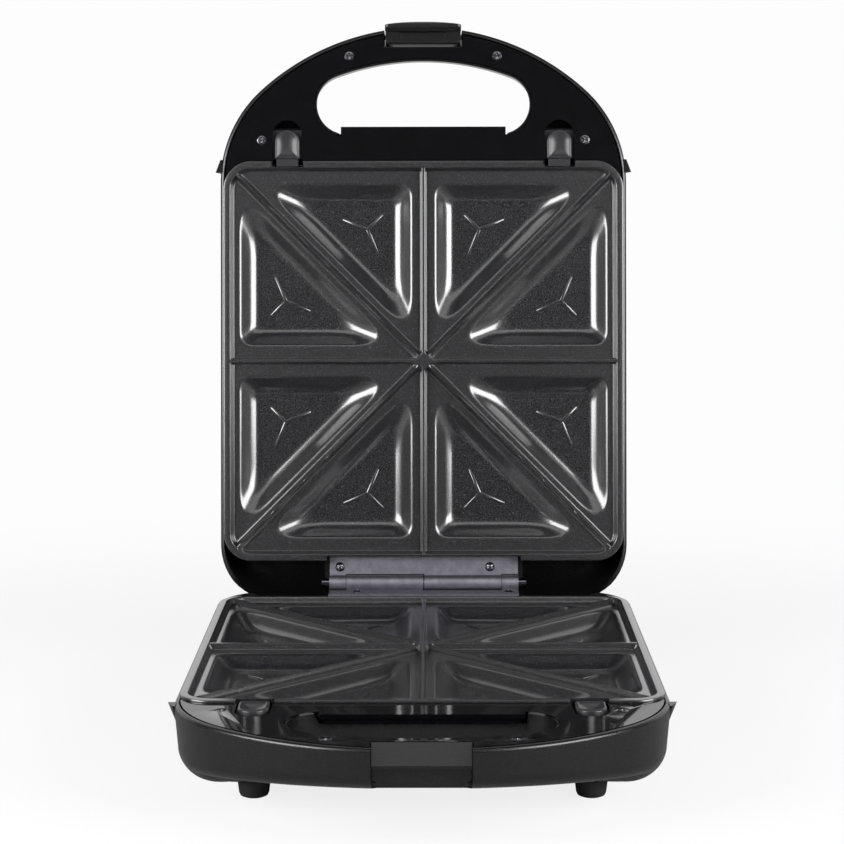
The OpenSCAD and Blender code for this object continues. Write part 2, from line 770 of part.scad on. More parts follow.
module lower_element() color(dark_steel) in_base() element();

module upper_element() color(dark_steel) in_lid() element();

module thermostat() {
    low = -tray_under - thermostat_h;
    rod([element_run / 3, 0], low, -tray_under - seat, thermostat_d);
    for (side = [-1, 1]) slab([element_run / 3 - tab_w / 2, element_run / 3 + tab_w / 2],
        [side * tab_x - tab_t / 2, side * tab_x + tab_t / 2], [low + 0.5 - tab_l, low + 0.5]);
}

module lower_thermostat() color(steel) in_base() thermostat();

module upper_thermostat() color(steel) in_lid() thermostat();

module thermal_fuse() color(steel) in_base() {
    low = -tray_under - fuse_d / 2 - touch;
    cross_rod(-element_run / 3, low, [-(fuse_lead_l + fuse_l) / 2, -(fuse_lead_l - fuse_l) / 2], fuse_d);
    cross_rod(-element_run / 3, low, [-fuse_lead_l, 0], fuse_lead_d);
}

module terminal_block() color(bright) in_base() translate([gland_x - 12, plate_h - 14, -base_depth + wall])
    difference() {
        translate([0, 0, seat]) cube([24, 13, 10]);
        for (i = [0:2]) {
            translate([4 + 8 * i, -1, 4]) rotate([-90, 0, 0]) cylinder(h = 15, d = 3.4);
            translate([4 + 8 * i, 6.5, 5]) cylinder(h = 6, d = 4);
        }
    }

// strain relief that the mains lead leaves through
module cord_gland() color(rubber) in_base()
    translate([gland_x, rear_y, -gland_z]) rotate([-90, 0, 0]) rotate_extrude() polygon([
        [gland_bore / 2, -wall - 3.4], [gland_flange / 2 - 0.6, -wall - 3.4],
        [gland_flange / 2 - 0.6, -wall - slip], [gland_d / 2, -wall - slip],
        [gland_d / 2, touch], [gland_flange / 2, touch], [gland_flange / 2, 2],
        [gland_d / 2, 3.5], [gland_bore / 2 + 1.2, gland_out], [gland_bore / 2, gland_out]
    ]);

// ---- feet and screws

module foot(x, y) color(rubber) in_base() translate([x, y, -base_depth]) rotate_extrude() polygon([
    [0, -foot_h], [foot_d / 2 - 3.4, -foot_h], [foot_d / 2 - 1.8, -foot_h + 0.7],
    [foot_d / 2 - 1.1, -foot_h + 2.2], [foot_d / 2, -seat], [foot_spigot / 2, -seat],
    [foot_spigot / 2, wall + touch], [foot_head / 2, wall + touch],
    [foot_head / 2 - 1.5, wall + 3], [0, wall + 3]
]);

module foot_front_left() foot(-foot_x, -foot_y);
module foot_front_right() foot(foot_x, -foot_y);
module foot_rear_left() foot(-foot_x, foot_y);
module foot_rear_right() foot(foot_x, foot_y);

// countersunk screw with a cross recess, its head's face at height 0
module sunk_screw() difference() {
    union() {
        translate([0, 0, -sunk_h]) cylinder(h = sunk_h, d1 = screw_d, d2 = screw_head);
        translate([0, 0, -screw_l]) cylinder(h = screw_l - 1, d = screw_d);
    }
    for (turn = [0, 90]) rotate(turn)
        slab([-screw_head / 3, screw_head / 3], [-cross_w / 2, cross_w / 2], [-cross_d, 1]);
}

module pan_screw() difference() {
    union() {
        rotate_extrude() polygon([[0, 0], [screw_head / 2, 0], [screw_head / 2, pan_head_h * 0.4],
            [screw_head / 2 - 0.9, pan_head_h * 0.85], [0, pan_head_h]]);
        translate([0, 0, -screw_l + 2]) cylinder(h = screw_l - 1.5, d = screw_d);
    }
    for (turn = [0, 90]) rotate(turn)
        slab([-screw_head / 4, screw_head / 4], [-0.4, 0.4], [pan_head_h - 0.8, pan_head_h + 1]);
}

module frame_screws() for (spot = frame_screw_spots)
    translate([spot[0], spot[1], -deck_drop - touch]) sunk_screw();

module tray_screws() for (spot = tray_screw_spots)
    translate([spot[0], spot[1], -tray_floor + seat]) pan_screw();

module leaf_screws() for (x = leaf_screw_x)
    translate([x, leaf_screw_y, -leaf_low + leaf_t + seat]) pan_screw();

module base_frame_screws() color(dark_steel) in_base() frame_screws();
module lid_frame_screws() color(dark_steel) in_lid() frame_screws();
module base_reflector_screws() color(steel) in_base() tray_screws();
module lid_reflector_screws() color(steel) in_lid() tray_screws();
module hinge_screws_lower() color(dark_steel) in_base() translate([0, 0, hinge_z]) leaf_screws();
module hinge_screws_upper() color(dark_steel) in_lid() translate([0, 0, -hinge_z])
    mirror([1, 0, 0]) leaf_screws();

// ---- hinge

// one leaf, its pin at height 0; the other is the same part turned over
module hinge_leaf() difference() {
    union() {
        slab([-leaf_w / 2, leaf_w / 2], [leaf_front, hinge_y], [-leaf_low, -leaf_low + leaf_t]);
        cross_rod(hinge_y, 0, [-knuckle_split, -knuckle_gap / 2], knuckle_d);
        cross_rod(hinge_y, 0, [knuckle_split + knuckle_gap / 2, leaf_w / 2], knuckle_d);
    }
    slab([-far, -knuckle_split], [hinge_y - knuckle_r - slip, far], [-far, far]);
    slab([-knuckle_gap / 2, knuckle_split + knuckle_gap / 2], [hinge_y - knuckle_r - slip, far],
        [-far, far]);
    cross_rod(hinge_y, 0, [-far, far], pin_d + 2 * pin_slack);
    for (x = leaf_screw_x) rod([x, leaf_screw_y], -far, far, screw_hole);
}

module hinge_leaf_lower() color(steel) in_base() translate([0, 0, hinge_z]) hinge_leaf();

module hinge_leaf_upper() color(steel) in_lid() translate([0, 0, -hinge_z])
    mirror([1, 0, 0]) hinge_leaf();

module hinge_pin() color(bright) in_base()
    cross_rod(hinge_y, hinge_z, [-leaf_w / 2 - pin_out, leaf_w / 2 + pin_out], pin_d);

// ---- plate releases

module release(side) translate([side * release_x, 0, 0]) {
    difference() {
        union() {
            prism(release_plan(release_w, release_front, release_end), -flange_under, -plate_top);
            slab([-flange_w / 2, flange_w / 2], [-release_end, -release_front - 0.4],
                [-flange_under, -flange_z]);
        }
        // dished top within a raised edge
        prism(release_plan(release_w - 3, release_front + 1.5, release_end - 1.5),
            -plate_top - 1, 0);
    }
    slab([-release_w / 2 + 1, release_w / 2 - 1], [-release_front - 1, -tongue_reach],
        [-tongue_z[1], -tongue_z[0]]);
    slab([-3.5, 3.5], [-lug_y - lug_t, -lug_y], [-pad_z, -flange_under + 0.5]);
}

module base_release_left() color(dark_steel) in_base() release(-1);
module base_release_right() color(dark_steel) in_base() release(1);
module lid_release_left() color(dark_steel) in_lid() release(-1);
module lid_release_right() color(dark_steel) in_lid() release(1);

// a wire wound along the z axis: 8 rings a turn, 6 points a ring
module coil(r, wire, length, turns) {
    rings = 8 * turns;
    points = [for (i = [0:rings], j = [0:5])
        let (a = 45 * i, b = 60 * j, q = r + wire / 2 * cos(b))
        [q * cos(a), q * sin(a), wire / 2 + (length - wire) * i / rings + wire / 2 * sin(b)]];
    sides = [for (i = [0:rings - 1], j = [0:5]) let (k = 6 * i + j, n = 6 * i + (j + 1) % 6)
        each [[k, n, n + 6], [k, n + 6, k + 6]]];
    ends = [for (j = [1:4]) each [[0, j + 1, j], [6 * rings, 6 * rings + j, 6 * rings + j + 1]]];
    polyhedron(points, concat(sides, ends));
}

module release_spring(side) translate([side * release_x, -lug_y - lug_t - seat, -spring_z])
    rotate([90, 0, 0]) coil((spring_d - spring_wire) / 2, spring_wire, spring_l - 2 * seat, spring_turns);

module base_release_spring_left() color(steel) in_base() release_spring(-1);
module base_release_spring_right() color(steel) in_base() release_spring(1);
module lid_release_spring_left() color(steel) in_lid() release_spring(-1);
module lid_release_spring_right() color(steel) in_lid() release_spring(1);

// ---- latch and lamps

// side view of the latch as [y, z], hook below
latch_profile = [
    [-latch_front, latch_end - 4], [-latch_front + 1.2, latch_end - 0.8],
    [-latch_front + 3.4, latch_end], [-latch_back - 3, latch_end], [-latch_back - 0.9, latch_end - 0.9],
    [-latch_back, latch_end - 3], [-latch_back, 1.8], [-latch_back - 1.2, 0.4], [-stem_y, -1.6],
    [-stem_y, -hook_top], [-hook_tip_y, -hook_top], [-hook_tip_y, -hook_top - 1.6],
    [-hook_tip_y - 1.6, -latch_reach], [-latch_front + 0.8, -latch_reach],
    [-latch_front, -latch_reach + 1.6]
];

module latch() color(black_satin) in_lid() difference() {
    intersection() {
        along_x([for (p = latch_profile) [p[0], -p[1]]], latch_w);
        prism(outline(0.4), -far, far);
    }
    cross_rod(-latch_pin_y, -latch_pin_z, [-far, far], latch_pin_d + 2 * pin_slack);
    // relief round the spring
    cross_rod(-latch_pin_y, -latch_pin_z, [-relief_w / 2, relief_w / 2], 2 * relief_r);
    slab([-relief_w / 2, relief_w / 2], [-latch_pin_y, -latch_back + 1],
        [-latch_pin_z - relief_r, -latch_pin_z + relief_r]);
}

module latch_pin() color(bright) in_lid()
    cross_rod(-latch_pin_y, -latch_pin_z, [-bay_x - bay_wall, bay_x + bay_wall], latch_pin_d);

module latch_spring() color(steel) in_lid()
    translate([-relief_w / 2 + 1, -latch_pin_y, -latch_pin_z]) rotate([0, 90, 0])
        coil(latch_pin_d / 2 + 0.5 + latch_spring_wire / 2, latch_spring_wire, relief_w - 2, 4);

module lens(side) color("#8a1a12") in_lid()
    translate([side * lens_x, -lens_y, -lid_depth]) rotate_extrude() polygon([
        [0, -lens_t], [lens_d / 2 - 0.6, -lens_t + 0.1], [lens_d / 2 + lens_lip, -touch / 2],
        [lens_d / 2, -touch / 2], [lens_d / 2, wall + 1], [0, wall + 1]
    ]);

module power_lens() lens(-1);
module ready_lens() lens(1);

module lamp_holder() color(bright) in_lid() difference() {
    slab([-lens_x - lens_d / 2 - holder_rim, lens_x + lens_d / 2 + holder_rim],
        [-lens_y - lens_d / 2 - holder_rim, -lens_y + lens_d / 2 + holder_rim],
        [-lid_depth + wall + touch, -tray_under - touch]);
    for (x = [-lens_x, lens_x]) rod([x, -lens_y], -far, -tray_under - 2, lens_d + 1);
}

base_shell();
base_frame();
lower_plate();
lower_reflector();
lower_element();
lower_thermostat();
thermal_fuse();
terminal_block();
cord_gland();
foot_front_left();
foot_front_right();
foot_rear_left();
foot_rear_right();
base_frame_screws();
base_reflector_screws();
hinge_leaf_lower();
hinge_pin();
hinge_screws_lower();
base_release_left();
base_release_right();
base_release_spring_left();
base_release_spring_right();
lid_shell();
lid_frame();
upper_plate();
upper_reflector();
upper_element();
upper_thermostat();
lid_frame_screws();
lid_reflector_screws();
hinge_leaf_upper();
hinge_screws_upper();
lid_release_left();
lid_release_right();
lid_release_spring_left();
lid_release_spring_right();
latch();
latch_pin();
latch_spring();
power_lens();
ready_lens();
lamp_holder();
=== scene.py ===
"""Looks of a four-portion sandwich toaster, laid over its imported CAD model, with a plain studio."""

import math

import bmesh
import bpy
import numpy as np
from bpy.props import FloatProperty, FloatVectorProperty, PointerProperty
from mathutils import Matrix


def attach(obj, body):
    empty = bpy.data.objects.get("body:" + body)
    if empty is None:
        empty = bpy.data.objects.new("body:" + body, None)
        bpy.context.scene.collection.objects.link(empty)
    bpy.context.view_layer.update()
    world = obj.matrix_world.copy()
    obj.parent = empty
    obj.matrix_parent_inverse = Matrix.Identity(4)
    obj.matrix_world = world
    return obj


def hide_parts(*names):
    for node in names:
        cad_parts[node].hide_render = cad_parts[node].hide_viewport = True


bl_info = {
    "name": "Sandwich Toaster",
    "version": (1, 0, 0),
    "blender": (4, 5, 0),
    "location": "3D View > Sidebar > Toaster",
    "description": "Builds the plates, housings, latch and release buttons of a sandwich toaster",
    "category": "Add Mesh",
}

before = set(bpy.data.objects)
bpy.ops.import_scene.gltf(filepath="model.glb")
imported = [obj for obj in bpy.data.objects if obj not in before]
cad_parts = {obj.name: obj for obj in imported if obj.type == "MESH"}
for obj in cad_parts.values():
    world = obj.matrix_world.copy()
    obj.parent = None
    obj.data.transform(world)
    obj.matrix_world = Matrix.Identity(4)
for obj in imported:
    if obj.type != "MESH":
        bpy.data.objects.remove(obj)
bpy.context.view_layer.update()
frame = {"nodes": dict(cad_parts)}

MM = 0.001
FINISH = {}   # each finish's material, once made


def linear(code):
    """A colour written as sRGB hex, as the three linear numbers that a shader takes."""
    part = np.array([int(code[i:i + 2], 16) / 255 for i in (0, 2, 4)])
    return tuple(np.where(part <= 0.04045, part / 12.92, ((part + 0.055) / 1.055) ** 2.4))


# ---- sizes and colours that a user may change


def length_setting(name, default, text):
    return FloatProperty(name=name, default=default, unit="LENGTH", description=text)


def colour_setting(name, code, text):
    return FloatVectorProperty(name=name, subtype="COLOR", size=3, default=linear(code), description=text)


class ToasterSizes(bpy.types.PropertyGroup):
    """Sizes of the pieces that this file forms."""

    plate_side: length_setting("Plate side", 0.25, "Side of the square cooking plate")
    plate_corner: length_setting("Plate corner", 0.0175, "Corner radius of the cooking plate")
    rim_height: length_setting("Rim height", 0.0038, "Height of the rim and the ribs over the plate's land")
    pocket_depth: length_setting("Pocket depth", 0.008, "Depth of a sandwich pocket below the land")
    handle_length: length_setting("Handle length", 0.084, "Length of the handle before the plate's edge")
    base_depth: length_setting("Base depth", 0.047, "Depth of the base housing below the parting plane")
    lid_depth: length_setting("Lid depth", 0.04, "Depth of the lid housing above the parting plane")
    open_angle: FloatProperty(name="Open angle", default=math.radians(98), unit="ROTATION",
        description="Angle between the closed lid and the open lid")


class ToasterColours(bpy.types.PropertyGroup):
    """Colours of the finishes."""

    shell: colour_setting("Shell", "0b0a0a", "Satin moulded plastic of the two housings")
    frame: colour_setting("Frame", "060607", "Polished moulded plastic of the two frames")
    coating: colour_setting("Coating", "101011", "Non-stick coating of the two plates")
    fleck: colour_setting("Fleck", "5d5c62", "Mineral flecks in the coating")
    button: colour_setting("Button", "202022", "Moulded plate-release buttons")
    backdrop: colour_setting("Backdrop", "fdfdfd", "Floor and background of the studio")


def sizes():
    """The size settings, in millimetres and degrees, with the sizes that follow from them."""
    p = bpy.context.scene.toaster_sizes
    s = {key: getattr(p, key) / MM for key in ("plate_side", "plate_corner", "rim_height", "pocket_depth",
        "handle_length", "base_depth", "lid_depth")}
    s["open"] = p.open_angle
    s["half"] = s["plate_side"] / 2
    s["tip"] = s["half"] + s["handle_length"]
    return s


# ---- the two halves' places, in millimetres

HINGE_Y, HINGE_Z = 139.0, 4.4   # the hinge pin, behind the plate's middle and above the parting plane
STAND = 58.0                    # height of the parting plane over the table
SHIFT = 0.046177                # how far model.glb has the plate's middle moved to the rear


def in_base(p):
    """Points drawn about the parting plane, in millimetres, moved to the base's place in metres."""
    return (p + np.array([0, SHIFT, STAND])) * MM


def in_lid(p):
    """The same points turned over and swung about the hinge pin by the open angle, in metres."""
    a = sizes()["open"]
    y, z = p[..., 1] - HINGE_Y, -p[..., 2] - HINGE_Z
    y, z = y * math.cos(a) + z * math.sin(a), z * math.cos(a) - y * math.sin(a)
    turned = np.stack([p[..., 0], y, z], -1)
    return (turned + np.array([0, SHIFT + HINGE_Y, STAND + HINGE_Z])) * MM


# body, the word in its pieces' names, how its points are placed, and its own height of the hinge pin
HALVES = (("base", "lower", in_base, HINGE_Z), ("lid", "upper", in_lid, -HINGE_Z))

# ---- forms

SAME = 0.01   # two points that are nearer than this, in millimetres, count as one


def arc_loop(arcs, spacing):
    """A closed plan of arcs joined by straight lines: points about `spacing` apart, and their outward
    normals. Each arc is centre x, centre y, radius, first and last angle in degrees.
    """
    spots, normals = [], []
    for i, (cx, cy, r, a0, a1) in enumerate(arcs):
        n = max(3, int(abs(math.radians(a1 - a0)) * r / spacing))
        a = np.radians(np.linspace(a0, a1, n + 1))
        way = np.stack([np.cos(a), np.sin(a)], -1)
        spots.append([cx, cy] + r * way)
        normals.append(way)
        nx, ny, nr, n0, _ = arcs[(i + 1) % len(arcs)]
        head = np.array([nx + nr * math.cos(math.radians(n0)), ny + nr * math.sin(math.radians(n0))])
        gap = np.linalg.norm(head - spots[-1][-1])
        if gap > SAME:
            t = np.linspace(0, 1, max(2, int(gap / spacing)) + 1)[1:-1, None]
            spots.append(spots[-1][-1] * (1 - t) + head * t)
            normals.append(np.repeat(way[-1:], len(t), 0))
    spots, normals = np.concatenate(spots), np.concatenate(normals)
    keep = np.linalg.norm(spots - np.roll(spots, 1, 0), axis=1) > SAME
    return spots[keep], normals[keep]


def grid_faces(rows, columns, start=0, wrap_rows=False):
    """Four-sided faces between neighbouring rings of a grid whose columns run round in a loop."""
    r = np.arange(rows if wrap_rows else rows - 1)[:, None]
    c = np.arange(columns)[None, :]
    a, b = r * columns, ((r + 1) % rows) * columns
    d = (c + 1) % columns
    return np.stack([a + c, a + d, b + d, b + c], -1).reshape(-1, 4) + start


def sheet_faces(rows, columns, start=0, turned=False):
    """Four-sided faces between the neighbouring points of an open grid, turned over if asked."""
    a = np.arange((rows - 1) * columns).reshape(rows - 1, columns)[:, :-1]
    b = a + columns
    return np.stack([a, b, b + 1, a + 1] if turned else [a, a + 1, b + 1, b], -1).reshape(-1, 4) + start


def capped(rings):
    """A closed form from rings of equal length: points, and groups of faces, with one over each end."""
    rows, columns = rings.shape[:2]
    end = np.arange(columns)[None]
    return rings.reshape(-1, 3), [grid_faces(rows, columns), end[:, ::-1], end + (rows - 1) * columns]


def block(x, y, z):
    """A plain block between the given limits, as points and faces."""
    plan = np.array([[x[0], y[0]], [x[1], y[0]], [x[1], y[1]], [x[0], y[1]]], float)
    return capped(np.stack([np.column_stack([plan, np.full(4, h)]) for h in z]))


def shaded(mesh, angle, material):
    """Smooth shading with sharp edges above an angle in degrees, and one material."""
    mesh.polygons.foreach_set("use_smooth", np.ones(len(mesh.polygons), bool))
    mesh.set_sharp_from_angle(angle=math.radians(angle))
    mesh.materials.clear()
    mesh.materials.append(material)


def placed(name, mesh, body, replaced):
    """An object in the scene that rides a body and stands in for the named CAD nodes."""
    made = bpy.data.objects.new(name, mesh)
    bpy.context.scene.collection.objects.link(made)
    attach(made, body)
    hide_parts(*replaced)
    return made


def piece(name, parts, place, body, slot, replaced, kind=None, sharp=35):
    """One object from several closed forms, with its edges sharp above the given angle. Its finish is
    the one that its slot names, unless another kind is given."""
    points, faces, count = [], [], 0
    for spots, sides in parts:
        points.append(spots)
        for group in sides:
            faces.extend((group + count).tolist())
        count += len(spots)
    mesh = bpy.data.meshes.new(name)
    mesh.from_pydata(place(np.concatenate(points)), [], faces)
    work = bmesh.new()
    work.from_mesh(mesh)
    bmesh.ops.recalc_face_normals(work, faces=work.faces)
    work.to_mesh(mesh)
    work.free()
    shaded(mesh, sharp, FINISH[kind or slot])
    return placed(name, mesh, body, replaced)


# ---- cooking plates

PLATE_TOP = 0.2                      # depth of the rim's top below the parting plane
BAND, BAND_UNDER = 4.4, 2.4          # width of the rim's flat band, and depth of its underside
CASTING = 2.4                        # thickness of the casting
PAN = 4.0                            # distance from the plate's edge to the frame's pan wall
RELEASE_X, RELEASE_HALF = 85.0, 10.0   # middle and half width of the notch that a release's tongue passes
LEAF_HALF, LEAF_IN = 60.6, 3.4       # half width and reach of the notch that the hinge leaves pass
SEAM = 0.01                          # half the width of the step at a notch's side
# a pocket's mouth: its distances from the middle line beside it and from the plate's edge
POCKET_BESIDE, POCKET_ACROSS = (7.6, 14.4), (9.9, 10.2)
POCKET_SLANT = 6.3                   # distance of its long side from the diagonal rib
WALL_SLOPE, WALL_RUN, FILLET = 0.95, 4.6, 7.4   # the pocket wall's steep part, and its fillet's reach
RIM_SLOPE, HUB_R, HUB_SLOPE = 1.7, 5.4, 1.2   # reach of the rim's slope, and the hub's radius and slope
# the ribs: half width of the top, and the reach of their slopes
RIB_TOP, RIB_SLOPE = 1.0, 0.7
DIAGONAL_TOP, DIAGONAL_SLOPE = 0.7, 1.2
RIB_BELOW, HUB_BELOW = 0.35, 0.25    # how far their tops stay below the rim's
TONGUE_EDGE = 2.3                    # depth of the edge in the tongues' notches


def over(t, soft):
    """max(t, 0) with its corner rounded by a parabola over the given reach on both sides."""
    return np.where(t > soft, t, np.where(t < -soft, 0, (t + soft) ** 2 / (4 * soft)))


def step(t, soft):
    """A slope from 0 at t = 0 to 1 at t = 1, with both of its corners rounded."""
    return over(t, soft) - over(t - 1, soft)


def least(a, b, k):
    """The lesser of two distances, rounded where they are within k of each other."""
    h = np.maximum(k - np.abs(a - b), 0)
    return np.minimum(a, b) - h * h / (4 * k)


def plate_depth(x, y, s):
    """Depth of the plate's cooking face below the parting plane.

    The land is level. The rim and the four ribs rise from it by straight slopes. Each pocket falls
    from its mouth by a wall that starts steep and flattens into the floor, over its distance
    inside a triangle whose corners are rounded.
    """
    land = PLATE_TOP + s["rim_height"]
    half, corner = s["half"], s["plate_corner"]
    ax, ay = np.abs(x), np.abs(y)
    cx, cy = ax - (half - corner), ay - (half - corner)
    inset = np.where((cx > 0) & (cy > 0), corner - np.hypot(cx, cy), half - np.maximum(ax, ay))
    raised = (land - PLATE_TOP) * (1 - step((inset - BAND) / RIM_SLOPE, 0.22))
    for across, top, slope in ((ax, RIB_TOP, RIB_SLOPE), (ay, RIB_TOP, RIB_SLOPE),
            (np.abs(ax - ay) / math.sqrt(2), DIAGONAL_TOP, DIAGONAL_SLOPE)):
        raised = np.maximum(raised, (land - RIB_BELOW) * (1 - step((across - top) / slope, 0.35)))
    # the hub, with a lobe towards each rib
    middle, turn = np.hypot(x, y), np.arctan2(y, x)
    hub = 1 - step((middle - HUB_R - 0.5 * np.cos(8 * turn)) / HUB_SLOPE, 0.3)
    raised = np.maximum(raised, (land - HUB_BELOW) * hub)
    # distances inside the pocket's three sides
    beside = ay > ax
    u, v = np.minimum(ax, ay), np.maximum(ax, ay)
    near = u - np.where(beside, POCKET_BESIDE[0], POCKET_ACROSS[0])
    outer = np.where(beside, half - POCKET_BESIDE[1], half - POCKET_ACROSS[1]) - v
    slant = (v - u) / math.sqrt(2) - POCKET_SLANT
    # the mouth's corners are rounder than those of the floor
    blunt = least(least(near, outer, 8.2), slant, 17.3)
    crisp = least(least(near, outer, 6.5), slant, 13)
    deep = np.clip(crisp / 12, 0, 1)
    run = blunt * (1 - deep) + crisp * deep
    # a short steep wall from the mouth, then a wide fillet into the floor
    past = np.maximum(run - WALL_RUN, 0)
    fall = WALL_SLOPE * (over(run, 0.7) - np.minimum(past, FILLET) ** 2 / (2 * FILLET)
        - np.maximum(past - FILLET, 0))
    fall *= s["pocket_depth"] / (WALL_SLOPE * (WALL_RUN + FILLET / 2))
    return np.where(run > 1, land + fall, land - raised + fall)


def rounded_square(px, py, s):
    """Grid points whose outer rings turn into arcs at the plate's corners."""
    c = s["half"] - s["plate_corner"]
    x, y = np.meshgrid(px, py)
    dx, dy = np.abs(x) - c, np.abs(y) - c
    bend = (dx > 0) & (dy > 0)
    reach = np.maximum(dx, dy)
    a = np.where(dy < dx, dy / np.where(dx == 0, 1, dx), 2 - dx / np.where(dy == 0, 1, dy))
    a = a * math.pi / 4
    return (np.where(bend, np.sign(x) * (c + reach * np.cos(a)), x),
        np.where(bend, np.sign(y) * (c + reach * np.sin(a)), y))


def border(n, m):
    """Indices round the edge of an n by m grid, anticlockwise."""
    low = np.arange(m)
    right = np.arange(1, n) * m + m - 1
    top = (n - 1) * m + np.arange(m - 1)[::-1]
    left = np.arange(n - 2, 0, -1) * m
    return np.concatenate([low, right, top, left])


def passages(x, y):
    """Where the release tongues pass the front edge, and where the hinge leaves pass the rear edge."""
    return ((np.abs(np.abs(x) - RELEASE_X) < RELEASE_HALF + SEAM / 10) & (y < 0),
        (np.abs(x) < LEAF_HALF + SEAM / 10) & (y > 0))


def notched(x, y, z, inset, s, fall):
    """Draws the edge in to the pan's wall where the release tongues and the hinge leaf pass."""
    slot, rear = passages(x, y)
    slot, rear = slot & (inset < PAN - SEAM / 10), rear & (inset < LEAF_IN)
    y = np.where(slot, PAN - s["half"], np.where(rear, s["half"] - LEAF_IN, y))
    return x, y, np.where(slot, fall, z)


def between(outside, inside, spots):
    """Triangles between two rings of different counts. Each side of the outer ring meets the inner
    point whose turn round the middle is next to its own, and the inner ring's sides fill what is left.
    """
    turns = [np.unwrap(np.arctan2(spots[ring, 1], spots[ring, 0])) for ring in (outside, inside)]
    out, into = (np.append(turn, turn[0] + 2 * math.pi) for turn in turns)
    m = len(inside)
    near = np.clip(np.searchsorted(into, (out[:-1] + out[1:]) / 2), 0, m)
    after, following = np.roll(near, -1), np.roll(outside, -1)
    after[-1] += m
    count = np.maximum(after - near, 0)
    j = np.arange(count.sum()) + np.repeat(near - np.cumsum(count) + count, count)
    return [np.stack([outside, following, inside[near % m]], -1),
        np.stack([np.repeat(following, count), inside[(j + 1) % m], inside[j % m]], -1)]


def cooking_plate(s):
    """The casting: its cooking face on a fine grid, a rounded edge, and a coarser underside.

    The face lies at plate_depth. The edge goes out and down from it in five rings. The underside
    lies the casting's thickness below the face, and is level under the rim and its band.
    """
    half = s["half"]
    inner = np.linspace(3.0, half - 7.4, 125)
    ridge = np.array([0.5, 0.8, 0.95, 1.1, 1.25, 1.4, 1.6, 1.8, 2.0, 2.4])
    rim = half - np.array([6.9, 6.5, 6.1, 5.7, 5.2, 4.8, 4.5, 4.2, 3.9, 3.3, 2.4, 1.5, 0.8, 0.35])
    right = np.concatenate([ridge, inner, rim])
    line = np.sort(np.concatenate([-right, [0], right]))
    cuts = np.array([RELEASE_X - RELEASE_HALF, RELEASE_X + RELEASE_HALF, LEAF_HALF])
    cuts = np.concatenate([cuts - SEAM, cuts + SEAM])
    px = np.sort(np.concatenate([line, -cuts, cuts]))
    x, y = rounded_square(px, line, s)
    inset = half - np.maximum(*np.abs(np.meshgrid(px, line)))
    z = -plate_depth(x, y, s)
    z = np.where(inset < 0.8, z - 0.12, z)
    top = np.stack(notched(x, y, z, inset, s, np.interp(inset, [0.35, PAN], [-2.2, -PLATE_TOP])), -1)
    rows, columns = top.shape[:2]
    top = top.reshape(-1, 3)
    # the rounded edge, plain where a tongue or a leaf passes
    edge = border(rows, columns)
    brim = top[edge]
    way = np.sign(brim[:, :2]) * np.maximum(np.abs(brim[:, :2]) - (half - s["plate_corner"]), 0)
    way /= np.maximum(np.linalg.norm(way, axis=1, keepdims=True), 1e-6)
    slot, rear = passages(brim[:, 0], brim[:, 1])
    rings = []
    for out, fall in ((0.12, 0.45), (0.35, 0.85), (0.35, BAND_UNDER - 0.3), (0.1, BAND_UNDER),
            (-2.0, BAND_UNDER + 0.001)):
        spot = brim[:, :2] + np.where((slot | rear)[:, None], 0, way * out)
        down = -TONGUE_EDGE - min(fall, BAND_UNDER) * 0.9
        rings.append(np.column_stack([spot, np.where(slot, down, -fall)]))
    size, count = len(edge), len(top)
    skirt = count + np.arange(size)
    # the underside, on its own coarser lines
    margin = half - np.array([7.0, 5.0, 4.0])
    coarse = np.unique(np.round(np.concatenate([np.linspace(9 - half, half - 9, 60), margin, -margin]), 4))
    ux, uy = rounded_square(coarse, coarse, s)
    inset = half - np.maximum(*np.abs(np.meshgrid(coarse, coarse)))
    under = -plate_depth(ux, uy, s) - CASTING
    under = np.where(inset < 5.1, -PLATE_TOP - s["rim_height"] - CASTING, under)
    under = np.where(inset < 4.1, -BAND_UNDER - 0.002, under)
    start, n = count + len(rings) * size, len(coarse)
    spots = np.concatenate([top, *rings, np.stack([ux, uy, under], -1).reshape(-1, 3)])
    return spots, [sheet_faces(rows, columns),
        np.stack([edge, np.roll(edge, -1), np.roll(skirt, -1), skirt], -1),
        grid_faces(len(rings), size, count), sheet_faces(n, n, start, turned=True),
        *between(start - size + np.arange(size), start + border(n, n), spots)]


# a mark's arms: turn in degrees and length, then its section along and across an arm
MARK_ARMS = ((135, 13.6), (-112.5, 17), (22.5, 17))
MARK_WIDE = np.array([1.15, 1.2, 1.1, 0.5])
MARK_HIGH = np.array([0.75, 0.8, 0.75, 0.15])
MARK_ACROSS = np.array([-1, -0.8, -0.42, 0.42, 0.8, 1])
MARK_LIFT = np.array([-0.5, 0.75, 1, 1, 0.75, -0.5])


def star_mark(mouth, s):
    """The raised three-armed mark on a pocket's floor: a low ridge carried out along each arm.

    The arms meet at the point that is as far from the pocket's long side as from the other two.
    """
    near, outer = mouth[0], s["half"] - mouth[1]
    k = (outer - near - POCKET_SLANT * math.sqrt(2)) / (2 + math.sqrt(2))
    floor = -(PLATE_TOP + s["rim_height"] + s["pocket_depth"])
    made = []
    for turn, length in MARK_ARMS:
        a = math.radians(turn)
        way, side = np.array([math.cos(a), math.sin(a)]), np.array([-math.sin(a), math.cos(a)])
        along = np.array([-0.4, 0.2, length - 0.8, length])
        spot = (np.array([near + k, outer - k]) + along[:, None, None] * way
            + (MARK_WIDE[:, None] * MARK_ACROSS)[..., None] * side)
        height = floor + MARK_HIGH[:, None] * MARK_LIFT
        made.append(capped(np.concatenate([spot, height[..., None]], -1)))
    return made


